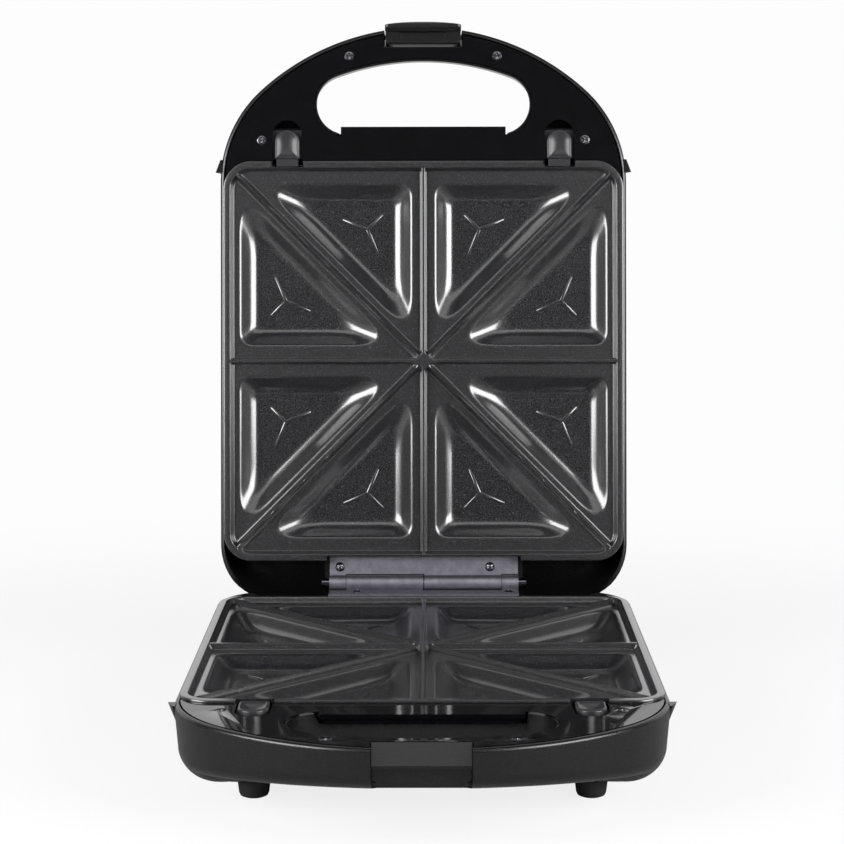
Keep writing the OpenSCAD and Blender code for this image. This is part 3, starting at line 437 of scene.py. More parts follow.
def all_eight(parts_beside, parts_across):
    """Copies of a pocket's parts in all eight places."""
    made = []
    for sx in (1, -1):
        for sy in (1, -1):
            for parts, order in ((parts_beside, [0, 1, 2]), (parts_across, [1, 0, 2])):
                made += [(spots[:, order] * [sx, sy, 1], faces) for spots, faces in parts]
    return made


class TOASTER_OT_plates(bpy.types.Operator):
    """Form the two cast cooking plates, with their pockets, ribs and marks"""

    bl_idname = "toaster.plates"
    bl_label = "Cooking plates"

    def execute(self, context):
        s = sizes()
        casting = cooking_plate(s)
        marks = all_eight(star_mark(POCKET_BESIDE, s), star_mark(POCKET_ACROSS, s))
        # the ledges that the release tongues hold
        wall = PAN - s["half"]
        ledges = [block((x - 9, x + 9), (wall, wall + 1), (-5.0, -3.4)) for x in (-RELEASE_X, RELEASE_X)]
        level = -np.concatenate([spots for spots, _ in (casting, *marks, *ledges)])[:, 2]
        # 0 on the land, 1 on a pocket's floor
        pocket = np.clip((level - PLATE_TOP - s["rim_height"]) / s["pocket_depth"], 0, 1)
        for body, word, place, _ in HALVES:
            made = piece("plate_cast_" + word, [casting, *marks, *ledges], place, body, "coating",
                [word + "_plate"], sharp=50)
            made.data.attributes.new("pocket", "FLOAT", "POINT").data.foreach_set("value", pocket)
        return {"FINISHED"}


# ---- housings

HALF_W, REAR, REAR_R = 127.0, 152.0, 37.0
SHOULDER = (49.0, 112.0, 78.0)     # the handle's shoulders: place in x and y, and radius
BODY_R, HANDLE_R = 22, 7           # radius between the side and the underside
DRAFT = 1.6                        # how far the sides lean in
LIP_BODY, LIP_HANDLE = -2.8, -1.8  # height of the lip beside the plate and round the handle
REAR_SLOPES = (51, 47)             # the rear walls' slopes in degrees, of the base and of the lid
REAR_GAP = 0.15                    # left free between the rear wall and its sloped plane
SWEEP_Y, SWEEP = 110, 28           # where the underside starts to rise, and over what length
CUT, CUT_Y, CUT_HALF, CUT_FOOT = 1.3, -114, 4, -12.8   # the recess behind each side fin
MOUTH, MOUTH_FOOT = -2.3, -7.5     # height of the hand opening's edge, and the same at its foot
WALL, WALL_EDGE = 2.6, 0.3         # thickness, and how much of it the edge at the lip rounds off
LIP_R = 2.0
FLARE, FLARE_R = 2.6, 1.6          # how far the hand opening widens towards its rounded outer edge
FIN_Y = 126.0
OUTSIDE_RINGS = 28                 # rings from the lip to the foot of the outside
BAY_X, BAY_INNER = 24.3, -193.0    # half width of the latch bay, and its wall inside the housing
HAND_CENTRE = (0.0, -165.0)
SLOT_TOP, SLOT_FOOT = 187.5, 142.0
SLOT_SIDE = (47.9, 160.5, 18.5)    # the hand opening's ends: place in x and y, and radius
HANDLE_Y, HANDLE_DEPTH, HANDLE_SLOPE = 138, 21.5, 0.167   # where the handle starts, its depth and slope


def smooth(t):
    """0 to 1 as t goes from 0 to 1, level at both ends."""
    t = np.clip(t, 0, 1)
    return t * t * (3 - 2 * t)


def arch(tip, side):
    """Radius, centre and turn of the arc through the tip that is tangent to a circle on each side."""
    x, y, side_r = side
    rise = tip - y
    r = (x ** 2 + rise ** 2 - side_r ** 2) / (2 * (rise - side_r))
    return r, r - tip, math.degrees(math.atan2(tip - r - y, x))


def housing_plan(s):
    """Plan of a housing: square rear corners, straight sides, and an arched handle."""
    r, y, turn = arch(s["tip"], SHOULDER)
    x, neck, side_r = SHOULDER
    corner_x, corner_y = HALF_W - REAR_R, REAR - REAR_R
    return arc_loop([(corner_x, corner_y, REAR_R, 0, 90), (-corner_x, corner_y, REAR_R, 90, 180),
        (-x, -neck, side_r, 180, 180 - turn), (0, y, r, 180 - turn, 360 + turn),
        (x, -neck, side_r, 360 + turn, 360)], 1.5)


def slot_plan():
    """Plan of the hand opening: a low arch over a straight foot."""
    r, y, turn = arch(SLOT_TOP, SLOT_SIDE)
    x, side_y, side_r = SLOT_SIDE
    return arc_loop([(-x, -side_y, side_r, 90, 180 - turn), (0, y, r, 180 - turn, 360 + turn),
        (x, -side_y, side_r, turn, 90)], 1.0)


def by_bearing(spots, normals, centre, bearing):
    """A loop's points and normals where it is met from a centre at the given bearings."""
    turn = np.arctan2(spots[:, 1] - centre[1], spots[:, 0] - centre[0])
    order = np.argsort(turn)
    turn, data = turn[order], np.hstack([spots, normals])[order]
    turn = np.concatenate([turn[-1:] - 2 * math.pi, turn, turn[:1] + 2 * math.pi])
    data = np.concatenate([data[-1:], data, data[:1]])
    found = np.stack([np.interp(bearing, turn, data[:, i]) for i in range(4)], -1)
    return found[:, :2], found[:, 2:] / np.linalg.norm(found[:, 2:], axis=1, keepdims=True)


def belly(y, depth, tip):
    """Depth of the underside: level under the body, then sweeping up to the sloped handle."""
    under = HANDLE_DEPTH + (tip + y) * HANDLE_SLOPE
    meet = HANDLE_DEPTH + (tip - HANDLE_Y) * HANDLE_SLOPE
    return np.where(-y > HANDLE_Y, under, depth + (meet - depth) * smooth((-y - SWEEP_Y) / SWEEP))


def housing_bearings(outer, slot, bay_turn):
    """Bearings from the hand opening's centre at which the skin has points: those of both plans, with
    a close pair on each side of the latch bay."""
    plans = np.concatenate([outer[::3], slot[::3]]) - HAND_CENTRE
    bearing = np.arctan2(plans[:, 1], plans[:, 0])
    sides = np.array([bay_turn, -math.pi - bay_turn])
    bearing = bearing[(np.abs(bearing[:, None] - sides) > 0.02).all(1)]
    bearing = np.unique(np.round(np.concatenate([bearing, sides - 1e-5, sides + 1e-5]), 7))
    return bearing[np.append(True, np.diff(bearing) > 1.5e-5)]


def housing(s, depth, bay, slope, pin):
    """A housing as one closed skin, from its lip down the outside, across the underside, up through
    the hand opening, and back along the inside to the lip.

    Across runs the bearing from the opening's centre. Rings are insets of the plan on the outside
    and outsets of the opening on the inside, with straight blends of the two between them. In the
    latch bay, the outside follows the bay's own section instead.
    """
    outer, outer_n = housing_plan(s)
    slot, slot_n = slot_plan()
    edge_y = -s["tip"] + 0.5 * BAY_X ** 2 / arch(s["tip"], SHOULDER)[0]
    bay_turn = math.atan2(edge_y - HAND_CENTRE[1], BAY_X)
    bearing = housing_bearings(outer, slot, bay_turn)
    o, on = by_bearing(outer, outer_n, HAND_CENTRE, bearing)
    q, qn = by_bearing(slot, slot_n, HAND_CENTRE, bearing)
    in_bay = (bearing > -math.pi - bay_turn) & (bearing < bay_turn) & (o[:, 1] < -150)
    radius = BODY_R + (HANDLE_R - BODY_R) * smooth((-o[:, 1] - 105) / 45)
    draft = DRAFT * on[:, 0] ** 2
    lip = np.where(o[:, 1] < -FIN_Y, LIP_HANDLE, LIP_BODY)
    rings = []

    def under(spot):
        """Height of the underside at a ring's points."""
        return -belly(spot[:, 1], depth, s["tip"])

    def lipped(spot, z):
        """Heights kept below the rear wall's slope, which clears the other half."""
        plane = pin - (spot[:, 1] - HINGE_Y) * math.tan(slope) - REAR_GAP / math.cos(slope)
        return np.where(spot[:, 1] > HINGE_Y, np.minimum(z, plane), z)

    def held(spot, y=BAY_INNER):
        """A ring whose points in the bay stay on the bay's inner wall."""
        return np.where(in_bay[:, None], np.column_stack([o[:, 0], np.full(len(o), y)]), spot)

    def put(spot, z):
        rings.append(np.column_stack([spot, z]))

    # the bay's section, at equal steps and at its own corners
    length = np.concatenate([[0], np.cumsum(np.hypot(*np.diff(bay, axis=0).T))])
    down = np.sort(np.concatenate([np.linspace(0, length[-1], OUTSIDE_RINGS + 2 - len(bay)), length[1:-1]]))

    def outside(spot, z):
        """A ring of the outside, whose points in the bay follow the bay's section."""
        put(spot, z)
        rings[-1][in_bay, 1:] = [np.interp(down[len(rings) - 1], length, bay[:, i]) for i in (0, 1)]

    # lip, outer wall and rounded edge
    for a in np.radians([0, 24, 46, 68, 90]):
        spot = o - LIP_R * (1 - math.sin(a)) * on
        outside(spot, lipped(spot, lip - LIP_R * (1 - math.cos(a))))
    side_cut = (np.abs(o[:, 1] - CUT_Y) < CUT_HALF) & (np.abs(on[:, 0]) > 0.9)
    for t in np.linspace(0.06, 1, 10) ** 1.2:
        spot = o - (draft * t)[:, None] * on
        z = (lip - LIP_R) * (1 - t) + (under(o) + radius) * t
        spot = np.where((side_cut & (z > CUT_FOOT))[:, None], spot - CUT * on, spot)
        outside(spot, np.minimum(lipped(spot, z), z))
    for a in np.radians(np.linspace(7, 90, 13)):
        spot = o - (draft + radius * (1 - math.cos(a)))[:, None] * on
        outside(spot, under(spot) + radius * (1 - math.sin(a)))
    foot = spot.copy()
    foot[in_bay, 1] = bay[-1, 0]
    # underside, out to the hand opening, and up through it
    edge = q + (FLARE + FLARE_R) * qn
    for t in 1 - (1 - np.linspace(0, 1, 44)[1:]) ** 1.7:
        spot = foot * (1 - t) + edge * t
        put(spot, under(spot))
    for a in np.radians([22, 45, 68, 90]):
        spot = q + (FLARE + FLARE_R * (1 - math.sin(a))) * qn
        put(spot, under(spot) + FLARE_R * (1 - math.cos(a)))
    under_lip = (q[:, 1] > -SLOT_FOOT - 4.4) & (np.abs(q[:, 0]) < 52.6)
    mouth = np.where(under_lip, MOUTH_FOOT, MOUTH)
    base = under(q) + FLARE_R
    for t in (0.25, 0.5, 0.75, 0.97):
        put(q + FLARE * (1 - t) * qn, base * (1 - t) + mouth * t)
    for out, fall in ((0.1, 0), (1.3, 0), (1.4, 0.3)):
        put(q + out * qn, mouth - fall)
    # inside
    spot = q + (FLARE + 1.4) * qn
    put(spot, under(spot) + WALL)
    inner = held(o - (draft + radius)[:, None] * on)
    edge = q + (FLARE + 1.5) * qn
    for t in np.linspace(0.04, 1, 22) ** 1.6:
        spot = edge * (1 - t) + inner * t
        put(spot, under(spot) + WALL)
    for a in np.radians([65, 45, 25, 0]):
        spot = o - (draft + WALL + (radius - WALL) * (1 - math.cos(a)))[:, None] * on
        put(held(spot), under(spot) + WALL + (radius - WALL) * (1 - math.sin(a)))
    spot = o - WALL * on
    for t in (0.5, 1):
        put(held(spot), (under(o) + radius) * (1 - t) + lipped(spot, lip - WALL_EDGE) * t)
    spot = o - (WALL - WALL_EDGE) * on
    put(held(spot, BAY_INNER - WALL_EDGE), lipped(spot, lip))
    return np.concatenate(rings), [grid_faces(len(rings), len(o), wrap_rows=True)]


def side_fin(side):
    """Three-sided fin that shades the seam beside the plate's front corner."""
    plan = np.array([[-1.5, -FIN_Y], [0, -FIN_Y], [1.2, -122.8], [2.2, -120.2], [3, -118], [-1.5, -118]])
    low = np.array([[-1.5, -118.8], [-1.4, -118.8], [-1.3, -118.6], [-1.3, -118.4], [-1.2, -118],
        [-1.5, -118]])
    for outline in (plan, low):
        outline[:, 0] = side * (HALF_W + outline[:, 0])
    return capped(np.array([np.column_stack([plan * (1 - t) + low * t, np.full(6, -2.8 - 11 * t)])
        for t in (0, 0.33, 0.66, 1)]))


class TOASTER_OT_housings(bpy.types.Operator):
    """Form the base and lid housings, with their handle halves and latch bays"""

    bl_idname = "toaster.housings"
    bl_label = "Housings"

    def execute(self, context):
        s = sizes()
        fins = [side_fin(side) for side in (-1, 1)]
        low = -belly(np.array(-198.5), s["base_depth"], s["tip"])
        base_bay = np.array([[-195.3, -1.8], [-203, -11.2], [-203, -12.6], [-198.5, -13.2], [-198.5, low]])
        lid_bay = np.array([[-196.5, -1.8], [-196.5, low]])
        for (body, word, place, pin), bay, slope in zip(HALVES, (base_bay, lid_bay), REAR_SLOPES):
            depth = s[body + "_depth"]
            # the seat inside that the hinge leaf's screws go into
            seat = block((-62, 62), (123.4, 136.4), (-depth + 1.5, pin - 5.05))
            skin = housing(s, depth, bay, math.radians(slope), pin)
            piece("housing_" + word, [skin, *fins, seat], place, body, "shell", [body + "_shell"])
        return {"FINISHED"}


# ---- latch, release buttons, screws, and pieces whose edges are eased

EASED_ANGLE = 30                    # edges sharper than this, in degrees, are rounded
HEAD_R, SHANK_R, SHANK = 3.0, 1.5, 12.0   # a screw's radii, and its length under the head


def extruded(profile, x, pull):
    """A side outline of y and z carried across the given places in x. At each it shrinks towards its
    own middle by that place's pull."""
    profile = np.asarray(profile, float)
    middle = (profile.min(0) + profile.max(0)) / 2
    way = middle - profile
    way /= np.maximum(np.linalg.norm(way, axis=1, keepdims=True), 1e-6)
    return np.stack([np.column_stack([np.full(len(way), a), profile + way * b]) for a, b in zip(x, pull)])


def rounded(profile, r):
    """An outline with each corner cut back by up to r and joined by a short parabola."""
    p = np.asarray(profile, float)
    before, after = np.roll(p, 1, 0) - p, np.roll(p, -1, 0) - p
    lb, la = np.linalg.norm(before, axis=1), np.linalg.norm(after, axis=1)
    cut = np.minimum(np.minimum(lb, la) * 0.45, r)
    a, b = p + before * (cut / lb)[:, None], p + after * (cut / la)[:, None]
    t = np.linspace(0, 1, 5)[None, :, None]
    return ((1 - t) ** 2 * a[:, None] + 2 * t * (1 - t) * p[:, None] + t * t * b[:, None]).reshape(-1, 2)


LATCH_SIDE = [(-208.6, -13), (-207.4, -16.2), (-205.2, -17), (-201.1, -17), (-199, -16.1), (-198.1, -14),
    (-198.1, -1.8), (-199.3, -0.4), (-205.56, 1.6), (-205.56, 13.7), (-203.36, 13.7), (-203.36, 15.3),
    (-204.96, 18.8), (-207.8, 18.8), (-208.6, 17.2)]
LATCH_PAD = [(-205.4, 2.0), (-205.4, 10.6), (-205.15, 10.6), (-204.4, 3.2), (-199.9, 0.6), (-200.4, -0.6)]


def latch_forms(s):
    """The latch: its side outline carried across, the front drawn in to follow the handle's arch.

    The stem's back and the hook's top keep their place right across, to go round the nose of the base.
    """
    side = np.array([23.5, 23.35, 22.9, 22.2, 21.5, 18, 13, 8, 4])
    x = np.concatenate([-side, [0], side[::-1]])
    end = np.array([2.0, 1.3, 0.6, 0.15])
    outline = rounded(LATCH_SIDE, 0.7)
    rings = extruded(outline, x, np.concatenate([end, np.zeros(len(x) - 2 * len(end)), end[::-1]]))
    back = (outline[:, 0] > -205.7) & (outline[:, 1] > 1) & (outline[:, 1] < 15.6)
    rings[:, back, 1:] = outline[back]
    r, y, _ = arch(s["tip"], SHOULDER)
    rings[..., 1] = np.maximum(rings[..., 1], y - np.sqrt((r - 0.4) ** 2 - rings[..., 0] ** 2))
    pad = extruded(rounded(LATCH_PAD, 0.3), [-14.2, -13.8, -12.5, 12.5, 13.8, 14.2],
        [0.5, 0.1, 0, 0, 0.1, 0.5])
    return [capped(rings), capped(pad)]


def button_forms(x):
    """A release button: its plan, square to the plate and round to the handle, carried up its sides,
    over a rounded edge, along the rim and down into a dish that is steepest at the round end."""
    arcs = [(7.0, -127.0, 0.8, 0, 90), (-7.0, -127.0, 0.8, 90, 180), (0, -136.8, 7.8, 180, 360)]
    plan, way = arc_loop(arcs, 0.7)
    rings = [np.column_stack([plan - inset * way, np.full(len(plan), z)]) for inset, z in (
        (0, -5.8), (0, -1.2), (0.12, -0.85), (0.4, -0.5), (0.8, -0.26), (1.2, -0.2), (1.6, -0.3),
        (2.0, -0.6))]
    rim = plan - 2.0 * way
    heart = np.array([0, -134.5])
    for k in (0.1, 0.22, 0.36, 0.52, 0.7, 0.86, 0.97):
        spot = rim + (heart - rim) * k
        deep = 0.6 + 1.5 * (1 - (1 - k) ** 2.4) * (0.75 + 0.25 * np.clip((-spot[:, 1] - 127) / 16, 0, 1))
        rings.append(np.column_stack([spot, -deep]))
    dish, faces = capped(np.stack(rings))
    # under the dish: the plate in its rails, the tongue, and the peg that its spring bears on
    plate, tongue, peg = (block((x - half, x + half), y, z) for half, y, z in (
        (9.9, (-144.6, -126.6), (-5.8, -4.3)), (6.8, (-127.2, -121.6), (-3.1, -1.4)),
        (3.5, (-130.2, -128.2), (-12.2, -5.3))))
    return [(dish + [x, 0, 0], faces), plate, tongue, peg]


def eased(node, width, body, slot):
    """A copy of a CAD node with its flat faces joined and its sharp edges rounded by some millimetres."""
    mesh = frame["nodes"][node].data.copy()
    work = bmesh.new()
    work.from_mesh(mesh)
    bmesh.ops.remove_doubles(work, verts=work.verts, dist=2e-6)
    bmesh.ops.dissolve_limit(work, angle_limit=math.radians(0.4), verts=work.verts, edges=work.edges)
    work.to_mesh(mesh)
    work.free()
    shaded(mesh, EASED_ANGLE, FINISH[slot])
    made = placed(node + "_eased", mesh, body, [node])
    bevel = made.modifiers.new("edge", "BEVEL")
    bevel.width = width * MM
    bevel.segments = 2
    bevel.limit_method = "ANGLE"
    bevel.angle_limit = math.radians(EASED_ANGLE)
    bevel.harden_normals = True


def screw_forms(spots, level, dome, neck):
    """Cross-head screws that stand on a level: a domed head whose height falls off with the square of
    the distance from its middle, less a cross whose arms have sloped walls, and a plain shank."""
    turn = np.arange(48) * math.pi / 24
    reach = np.array([0.05, 0.35, 0.6, 0.85, 1.1, 1.35, 1.6, 1.8, 2.0, 2.2, 2.5, 2.75, 2.95])
    r, a = np.meshgrid(reach, turn, indexing="ij")
    x, y = r * np.cos(a), r * np.sin(a)
    arm = np.minimum(np.abs(x), np.abs(y))
    cross = (1 - step((arm - 0.3) / 0.35, 0.3)) * (1 - step((r - 1.7) / 0.3, 0.3))
    z = dome * (1 - (r / HEAD_R) ** 2) - 0.9 * cross
    top = np.stack([x, y, z], -1)[::-1]
    foot = [np.stack([q * np.cos(turn), q * np.sin(turn), np.full(48, h)], -1)
        for q, h in ((SHANK_R, -SHANK), (SHANK_R, -neck), (HEAD_R, -0.12))]
    head, faces = capped(np.concatenate([foot, top]))
    return [(head + [px, py, level], faces) for px, py in spots]


class TOASTER_OT_screws(bpy.types.Operator):
    """Form the screws that show in the frames and on the hinge"""

    bl_idname = "toaster.screws"
    bl_label = "Screws"

    def execute(self, context):
        s = sizes()
        spots = [(side * x, -y) for x, y in ((101.0, 138.0), (46.2, s["tip"] - 18.5)) for side in (-1, 1)]
        for body, _, place, _ in HALVES:
            piece(body + "_screw_heads", screw_forms(spots, -2.0, 0.35, 1.5), place, body, "screw",
                [body + "_frame_screws"])
        for (body, word, place, pin), side in zip(HALVES, (1, -1)):
            spots = [(side * -41.4, 129.0), (side * 52.6, 129.0)]
            name = "hinge_screws_" + word
            piece(name + "_heads", screw_forms(spots, pin - 3.4, 1.75, 0.2), place, body, "screw", [name])
        return {"FINISHED"}


class TOASTER_OT_latch(bpy.types.Operator):
    """Form the latch on the lid's handle"""

    bl_idname = "toaster.latch"
    bl_label = "Latch"

    def execute(self, context):
        piece("latch_moulded", latch_forms(sizes()), in_lid, "latch", "shell", ["latch"], kind="latch")
        return {"FINISHED"}


class TOASTER_OT_releases(bpy.types.Operator):
    """Form the four plate-release buttons"""

    bl_idname = "toaster.releases"
    bl_label = "Release buttons"

    def execute(self, context):
        for body, _, place, _ in HALVES:
            for side, x in (("left", -RELEASE_X), ("right", RELEASE_X)):
                name = body + "_release_" + side
                piece(name + "_button", button_forms(x), place, name, "button", [name])
        return {"FINISHED"}


class TOASTER_OT_frames(bpy.types.Operator):
    """Ease the edges of the two frames and the hinge leaves"""

    bl_idname = "toaster.frames"
    bl_label = "Frames and hinge"

    def execute(self, context):
        for body, _, _, _ in HALVES:
            eased(body + "_frame", 0.35, body, "frame")
        for body, word, _, _ in HALVES:
            eased("hinge_leaf_" + word, 0.25, body, "hinge")
        return {"FINISHED"}


# ---- finishes

METAL, PLASTIC = {"Metallic": 1.0}, {"IOR": 1.5}

# Key, name, two colours, grain in millimetres, bump, shader settings, range of roughness, and where it
# differs, stretch and share. A first colour that is left empty is the user's colour of that key, and a
# second one the user's fleck.
FINISHES = (
    # polypropylene moulded in a spark-eroded tool: satin, so that lights spread into soft bands
    ("shell", "satin_moulded_plastic", "", "0e0d0d", 0.7, 0.08, PLASTIC, (0.25, 0.31)),
    # ABS moulded against a polished tool: black, with clear reflections
    ("frame", "polished_moulded_plastic", "", "08080a", 9, 0.02, {"IOR": 1.54}, (0.04, 0.07)),
    # die-cast aluminium, sprayed with a baked non-stick coat that holds mineral flecks: a speckled sheen
    ("coating", "flecked_non_stick_coat", "", "", 0.55, 0.12, {"IOR": 1.6, "Coat Weight": 0.9,
        "Coat IOR": 1.6, "Coat Roughness": 0.15}, (0.3, 0.4), (1, 1, 1), (0.56, 0.72)),
    # pressed steel with a dull zinc plate: grey with a soft cloudy shine
    ("hinge", "dull_zinc_plated_steel", "918f98", "817f88", 6, 0.1, METAL, (0.42, 0.52)),
    # wire and pins drawn through a die: bright, with fine lines along them
    ("steel", "drawn_bright_steel", "b9b9bd", "a3a3a8", 0.6, 0.1, METAL, (0.2, 0.3), (0.1, 1, 1)),
    # cold-headed and blackened, worn by the driver: grey metal with sharp glints in the cross
    # the hinge pin wears this finish too, darker than bright drawn steel: painted shade for a pin that sits
    # in shadow
    ("screw", "blackened_screw_steel", "707075", "838388", 0.8, 0.1, METAL, (0.16, 0.24)),
    # annealed tube that has been red-hot: brown and matt
    ("sheath", "oxidised_element_sheath", "4b4945", "5d5750", 3, 0.15, METAL, (0.45, 0.6)),
    # sheet dipped in molten aluminium and pressed: pale, with a blurred mirror
    ("reflector", "aluminised_steel_sheet", "c4c5c8", "b4b5b9", 5, 0.08, METAL, (0.25, 0.36)),
    # moulded smooth, and rubbed by fingers: a little glossier and greyer than the housings
    ("latch", "dark_moulded_plastic", "161616", "1c1c1c", 0.7, 0.2, PLASTIC, (0.2, 0.28)),
    ("button", "satin_moulded_button", "", "29292b", 0.5, 0.2, PLASTIC, (0.3, 0.4)),
    # moulded in a bead-blasted tool: black without a shine
    ("rubber", "moulded_rubber", "161616", "1d1d1c", 0.8, 0.3, {"IOR": 1.52}, (0.6, 0.75)),
    # pressed, fired and glazed: off-white with a clear shine
    ("ceramic", "glazed_ceramic", "d9d6cc", "cfcbc0", 2, 0.05, PLASTIC, (0.25, 0.35)),
    # tinted polycarbonate: clear enough to look deep
    *(("lens_" + name, "tinted_lens_" + name, code, code, 3, 0.02, {"IOR": 1.49, "Transmission Weight": 0.35},
        (0.05, 0.1)) for name, code in (("red", "8a1a12"), ("green", "1f6b2b"))),
)

# the finish of a CAD node, by the first of these that its name holds
NODE_KINDS = (("_shell", "shell"), ("_frame_screws", "screw"), ("_frame", "frame"), ("_plate", "coating"),
    ("reflector_screws", "steel"), ("_reflector", "reflector"), ("_element", "sheath"),
    ("thermostat", "steel"), ("thermal_fuse", "steel"), ("terminal_block", "ceramic"),
    ("lamp_holder", "ceramic"), ("gland", "rubber"), ("foot", "rubber"), ("hinge_leaf", "hinge"),
    # the hinge pin takes the screws' darker finish rather than bright drawn steel: painted shade, for a pin
    # that sits in the lid's shadow
    ("hinge_screws", "screw"), ("_spring", "steel"), ("pin", "screw"), ("release", "button"),
    ("latch", "shell"), ("power_lens", "lens_red"), ("ready_lens", "lens_green"))


def add(tree, kind, inputs=(), **settings):
    """Adds a node with its settings; an input is given a value, or linked when that is a socket."""
    made = tree.nodes.new(kind)
    for key, value in settings.items():
        setattr(made, key, value)
    for key, value in dict(inputs).items():
        if isinstance(value, bpy.types.NodeSocket):
            tree.links.new(value, made.inputs[key])
        else:
            made.inputs[key].default_value = value
    return made


def mapped(tree, value, low, high, to_low=0.0, to_high=1.0, interpolation="SMOOTHSTEP"):
    """A value that goes from one number to another while the given one crosses a range."""
    return add(tree, "ShaderNodeMapRange", {"Value": value, "From Min": low, "From Max": high,
        "To Min": to_low, "To Max": to_high}, interpolation_type=interpolation).outputs["Result"]


def product(tree, a, b, plus=0.0):
    """a times b, plus a third value."""
    return add(tree, "ShaderNodeMath", {0: a, 1: b, 2: plus}, operation="MULTIPLY_ADD").outputs[0]


def mixed(tree, share, a, b):
    """Two colours mixed by a share. A Mix node's colour sockets are numbers 6 and 7, and 2 going out."""
    return add(tree, "ShaderNodeMix", {"Factor": share, 6: a, 7: b}, data_type="RGBA").outputs[2]


def finish(name, first, other, grain, strength, shader, rough, stretch=(1, 1, 1), share=(0.4, 0.6)):
    """A material whose colour and roughness vary by a noise of `grain` millimetres, with a fine bump."""
    made = bpy.data.materials.new(name)
    made.use_nodes = True
    tree = made.node_tree
    body = tree.nodes["Principled BSDF"]
    place = add(tree, "ShaderNodeTexCoord").outputs["Object"]
    drawn = add(tree, "ShaderNodeMapping", {"Vector": place, "Scale": stretch}).outputs["Vector"]
    noise = add(tree, "ShaderNodeTexNoise", {"Vector": drawn, "Scale": 1000 / grain, "Detail": 3.0,
        "Roughness": 0.6}).outputs["Fac"]
    spread = mapped(tree, noise, *share, interpolation="LINEAR")
    bump = add(tree, "ShaderNodeBump", {"Height": noise, "Strength": strength, "Distance": grain * 0.1 * MM})
    tree.links.new(mixed(tree, spread, (*first, 1), (*other, 1)), body.inputs["Base Color"])
    tree.links.new(mapped(tree, noise, 0.0, 1.0, *rough, interpolation="LINEAR"), body.inputs["Roughness"])
    tree.links.new(bump.outputs["Normal"], body.inputs["Normal"])
    for key, value in shader.items():
        body.inputs[key].default_value = value
    return made


class TOASTER_OT_finishes(bpy.types.Operator):
    """Make the finishes and give one to every CAD node"""

    bl_idname = "toaster.finishes"
    bl_label = "Finishes"

    def execute(self, context):
        chosen = context.scene.toaster_colours
        for key, name, first, other, *rest in FINISHES:
            FINISH[key] = finish(name, linear(first) if first else getattr(chosen, key),
                linear(other) if other else chosen.fleck, *rest)
        # the spray runs together on a pocket's floor, which is therefore a little smoother than the land
        tree = FINISH["coating"].node_tree
        pocket = add(tree, "ShaderNodeAttribute", attribute_name="pocket").outputs["Fac"]
        rough = tree.nodes["Principled BSDF"].inputs["Roughness"]
        tree.links.new(product(tree, pocket, -0.07, rough.links[0].from_socket), rough)
        for name, made in frame["nodes"].items():
            kind = next(kind for part, kind in NODE_KINDS if part in name)
            for slot in made.material_slots:
                slot.material = FINISH[kind]
            if not made.material_slots:
                made.data.materials.append(FINISH[kind])
        return {"FINISHED"}


# ---- studio

CAMERA_SPOT, CAMERA_TURNS = (0.0047, -1.21205, 0.3497), (7.82, -0.24, -0.11)
SENSOR, LENS = 36, 93.87
LAMPS = (("left box", (-1.02, -0.72, 0.56), (0, 0.1, 0.24), (0.85, 0.62), 21),
    ("right box", (1.02, -0.72, 0.56), (0, 0.1, 0.24), (0.85, 0.62), 21),
    ("top box", (0, -0.75, 1.25), (0, 0.05, 0.25), (1.8, 0.45), 3.8))
FLOOR_HALF, FLOOR_FRONT, FLOOR_REAR, COVE_R, WALL_TOP = 6, -4.0, 3.0, 1.5, 8
FLOOR_LIFT = 0.84   # how much of the paper under the object is plain backdrop, for the camera


def placement(right, up, back, spot):
    """A placement from its three axes and its spot, as Blender takes it."""
    m = np.eye(4)
    m[:3] = np.column_stack([right, up, back, spot])
    return m.T


def look(spot, pitch, yaw, roll):
    """Camera placement from its spot in metres and its turns in degrees: down, left and clockwise."""
    p, w, r = map(math.radians, (pitch, yaw, roll))
    ahead = np.array([math.sin(w) * math.cos(p), math.cos(w) * math.cos(p), -math.sin(p)])
    right = np.cross(ahead, [0, 0, 1])
    right /= np.linalg.norm(right)
    up = np.cross(right, ahead)
    right, up = right * math.cos(r) + up * math.sin(r), up * math.cos(r) - right * math.sin(r)
    return placement(right, up, -ahead, spot)


def lamp(name, spot, aim, size, power):
    """A soft rectangular lamp that looks at a spot."""
    data = bpy.data.lights.new(name, "AREA")
    data.shape = "RECTANGLE"
    data.size, data.size_y = size
    data.energy = power
    made = bpy.data.objects.new(name, data)
    bpy.context.scene.collection.objects.link(made)
    away = np.array(spot, float) - np.array(aim, float)
    away /= np.linalg.norm(away)
    right = np.cross([0, 0, 1], away)
    right /= np.linalg.norm(right)
    made.matrix_world = placement(right, np.cross(away, right), away, spot)


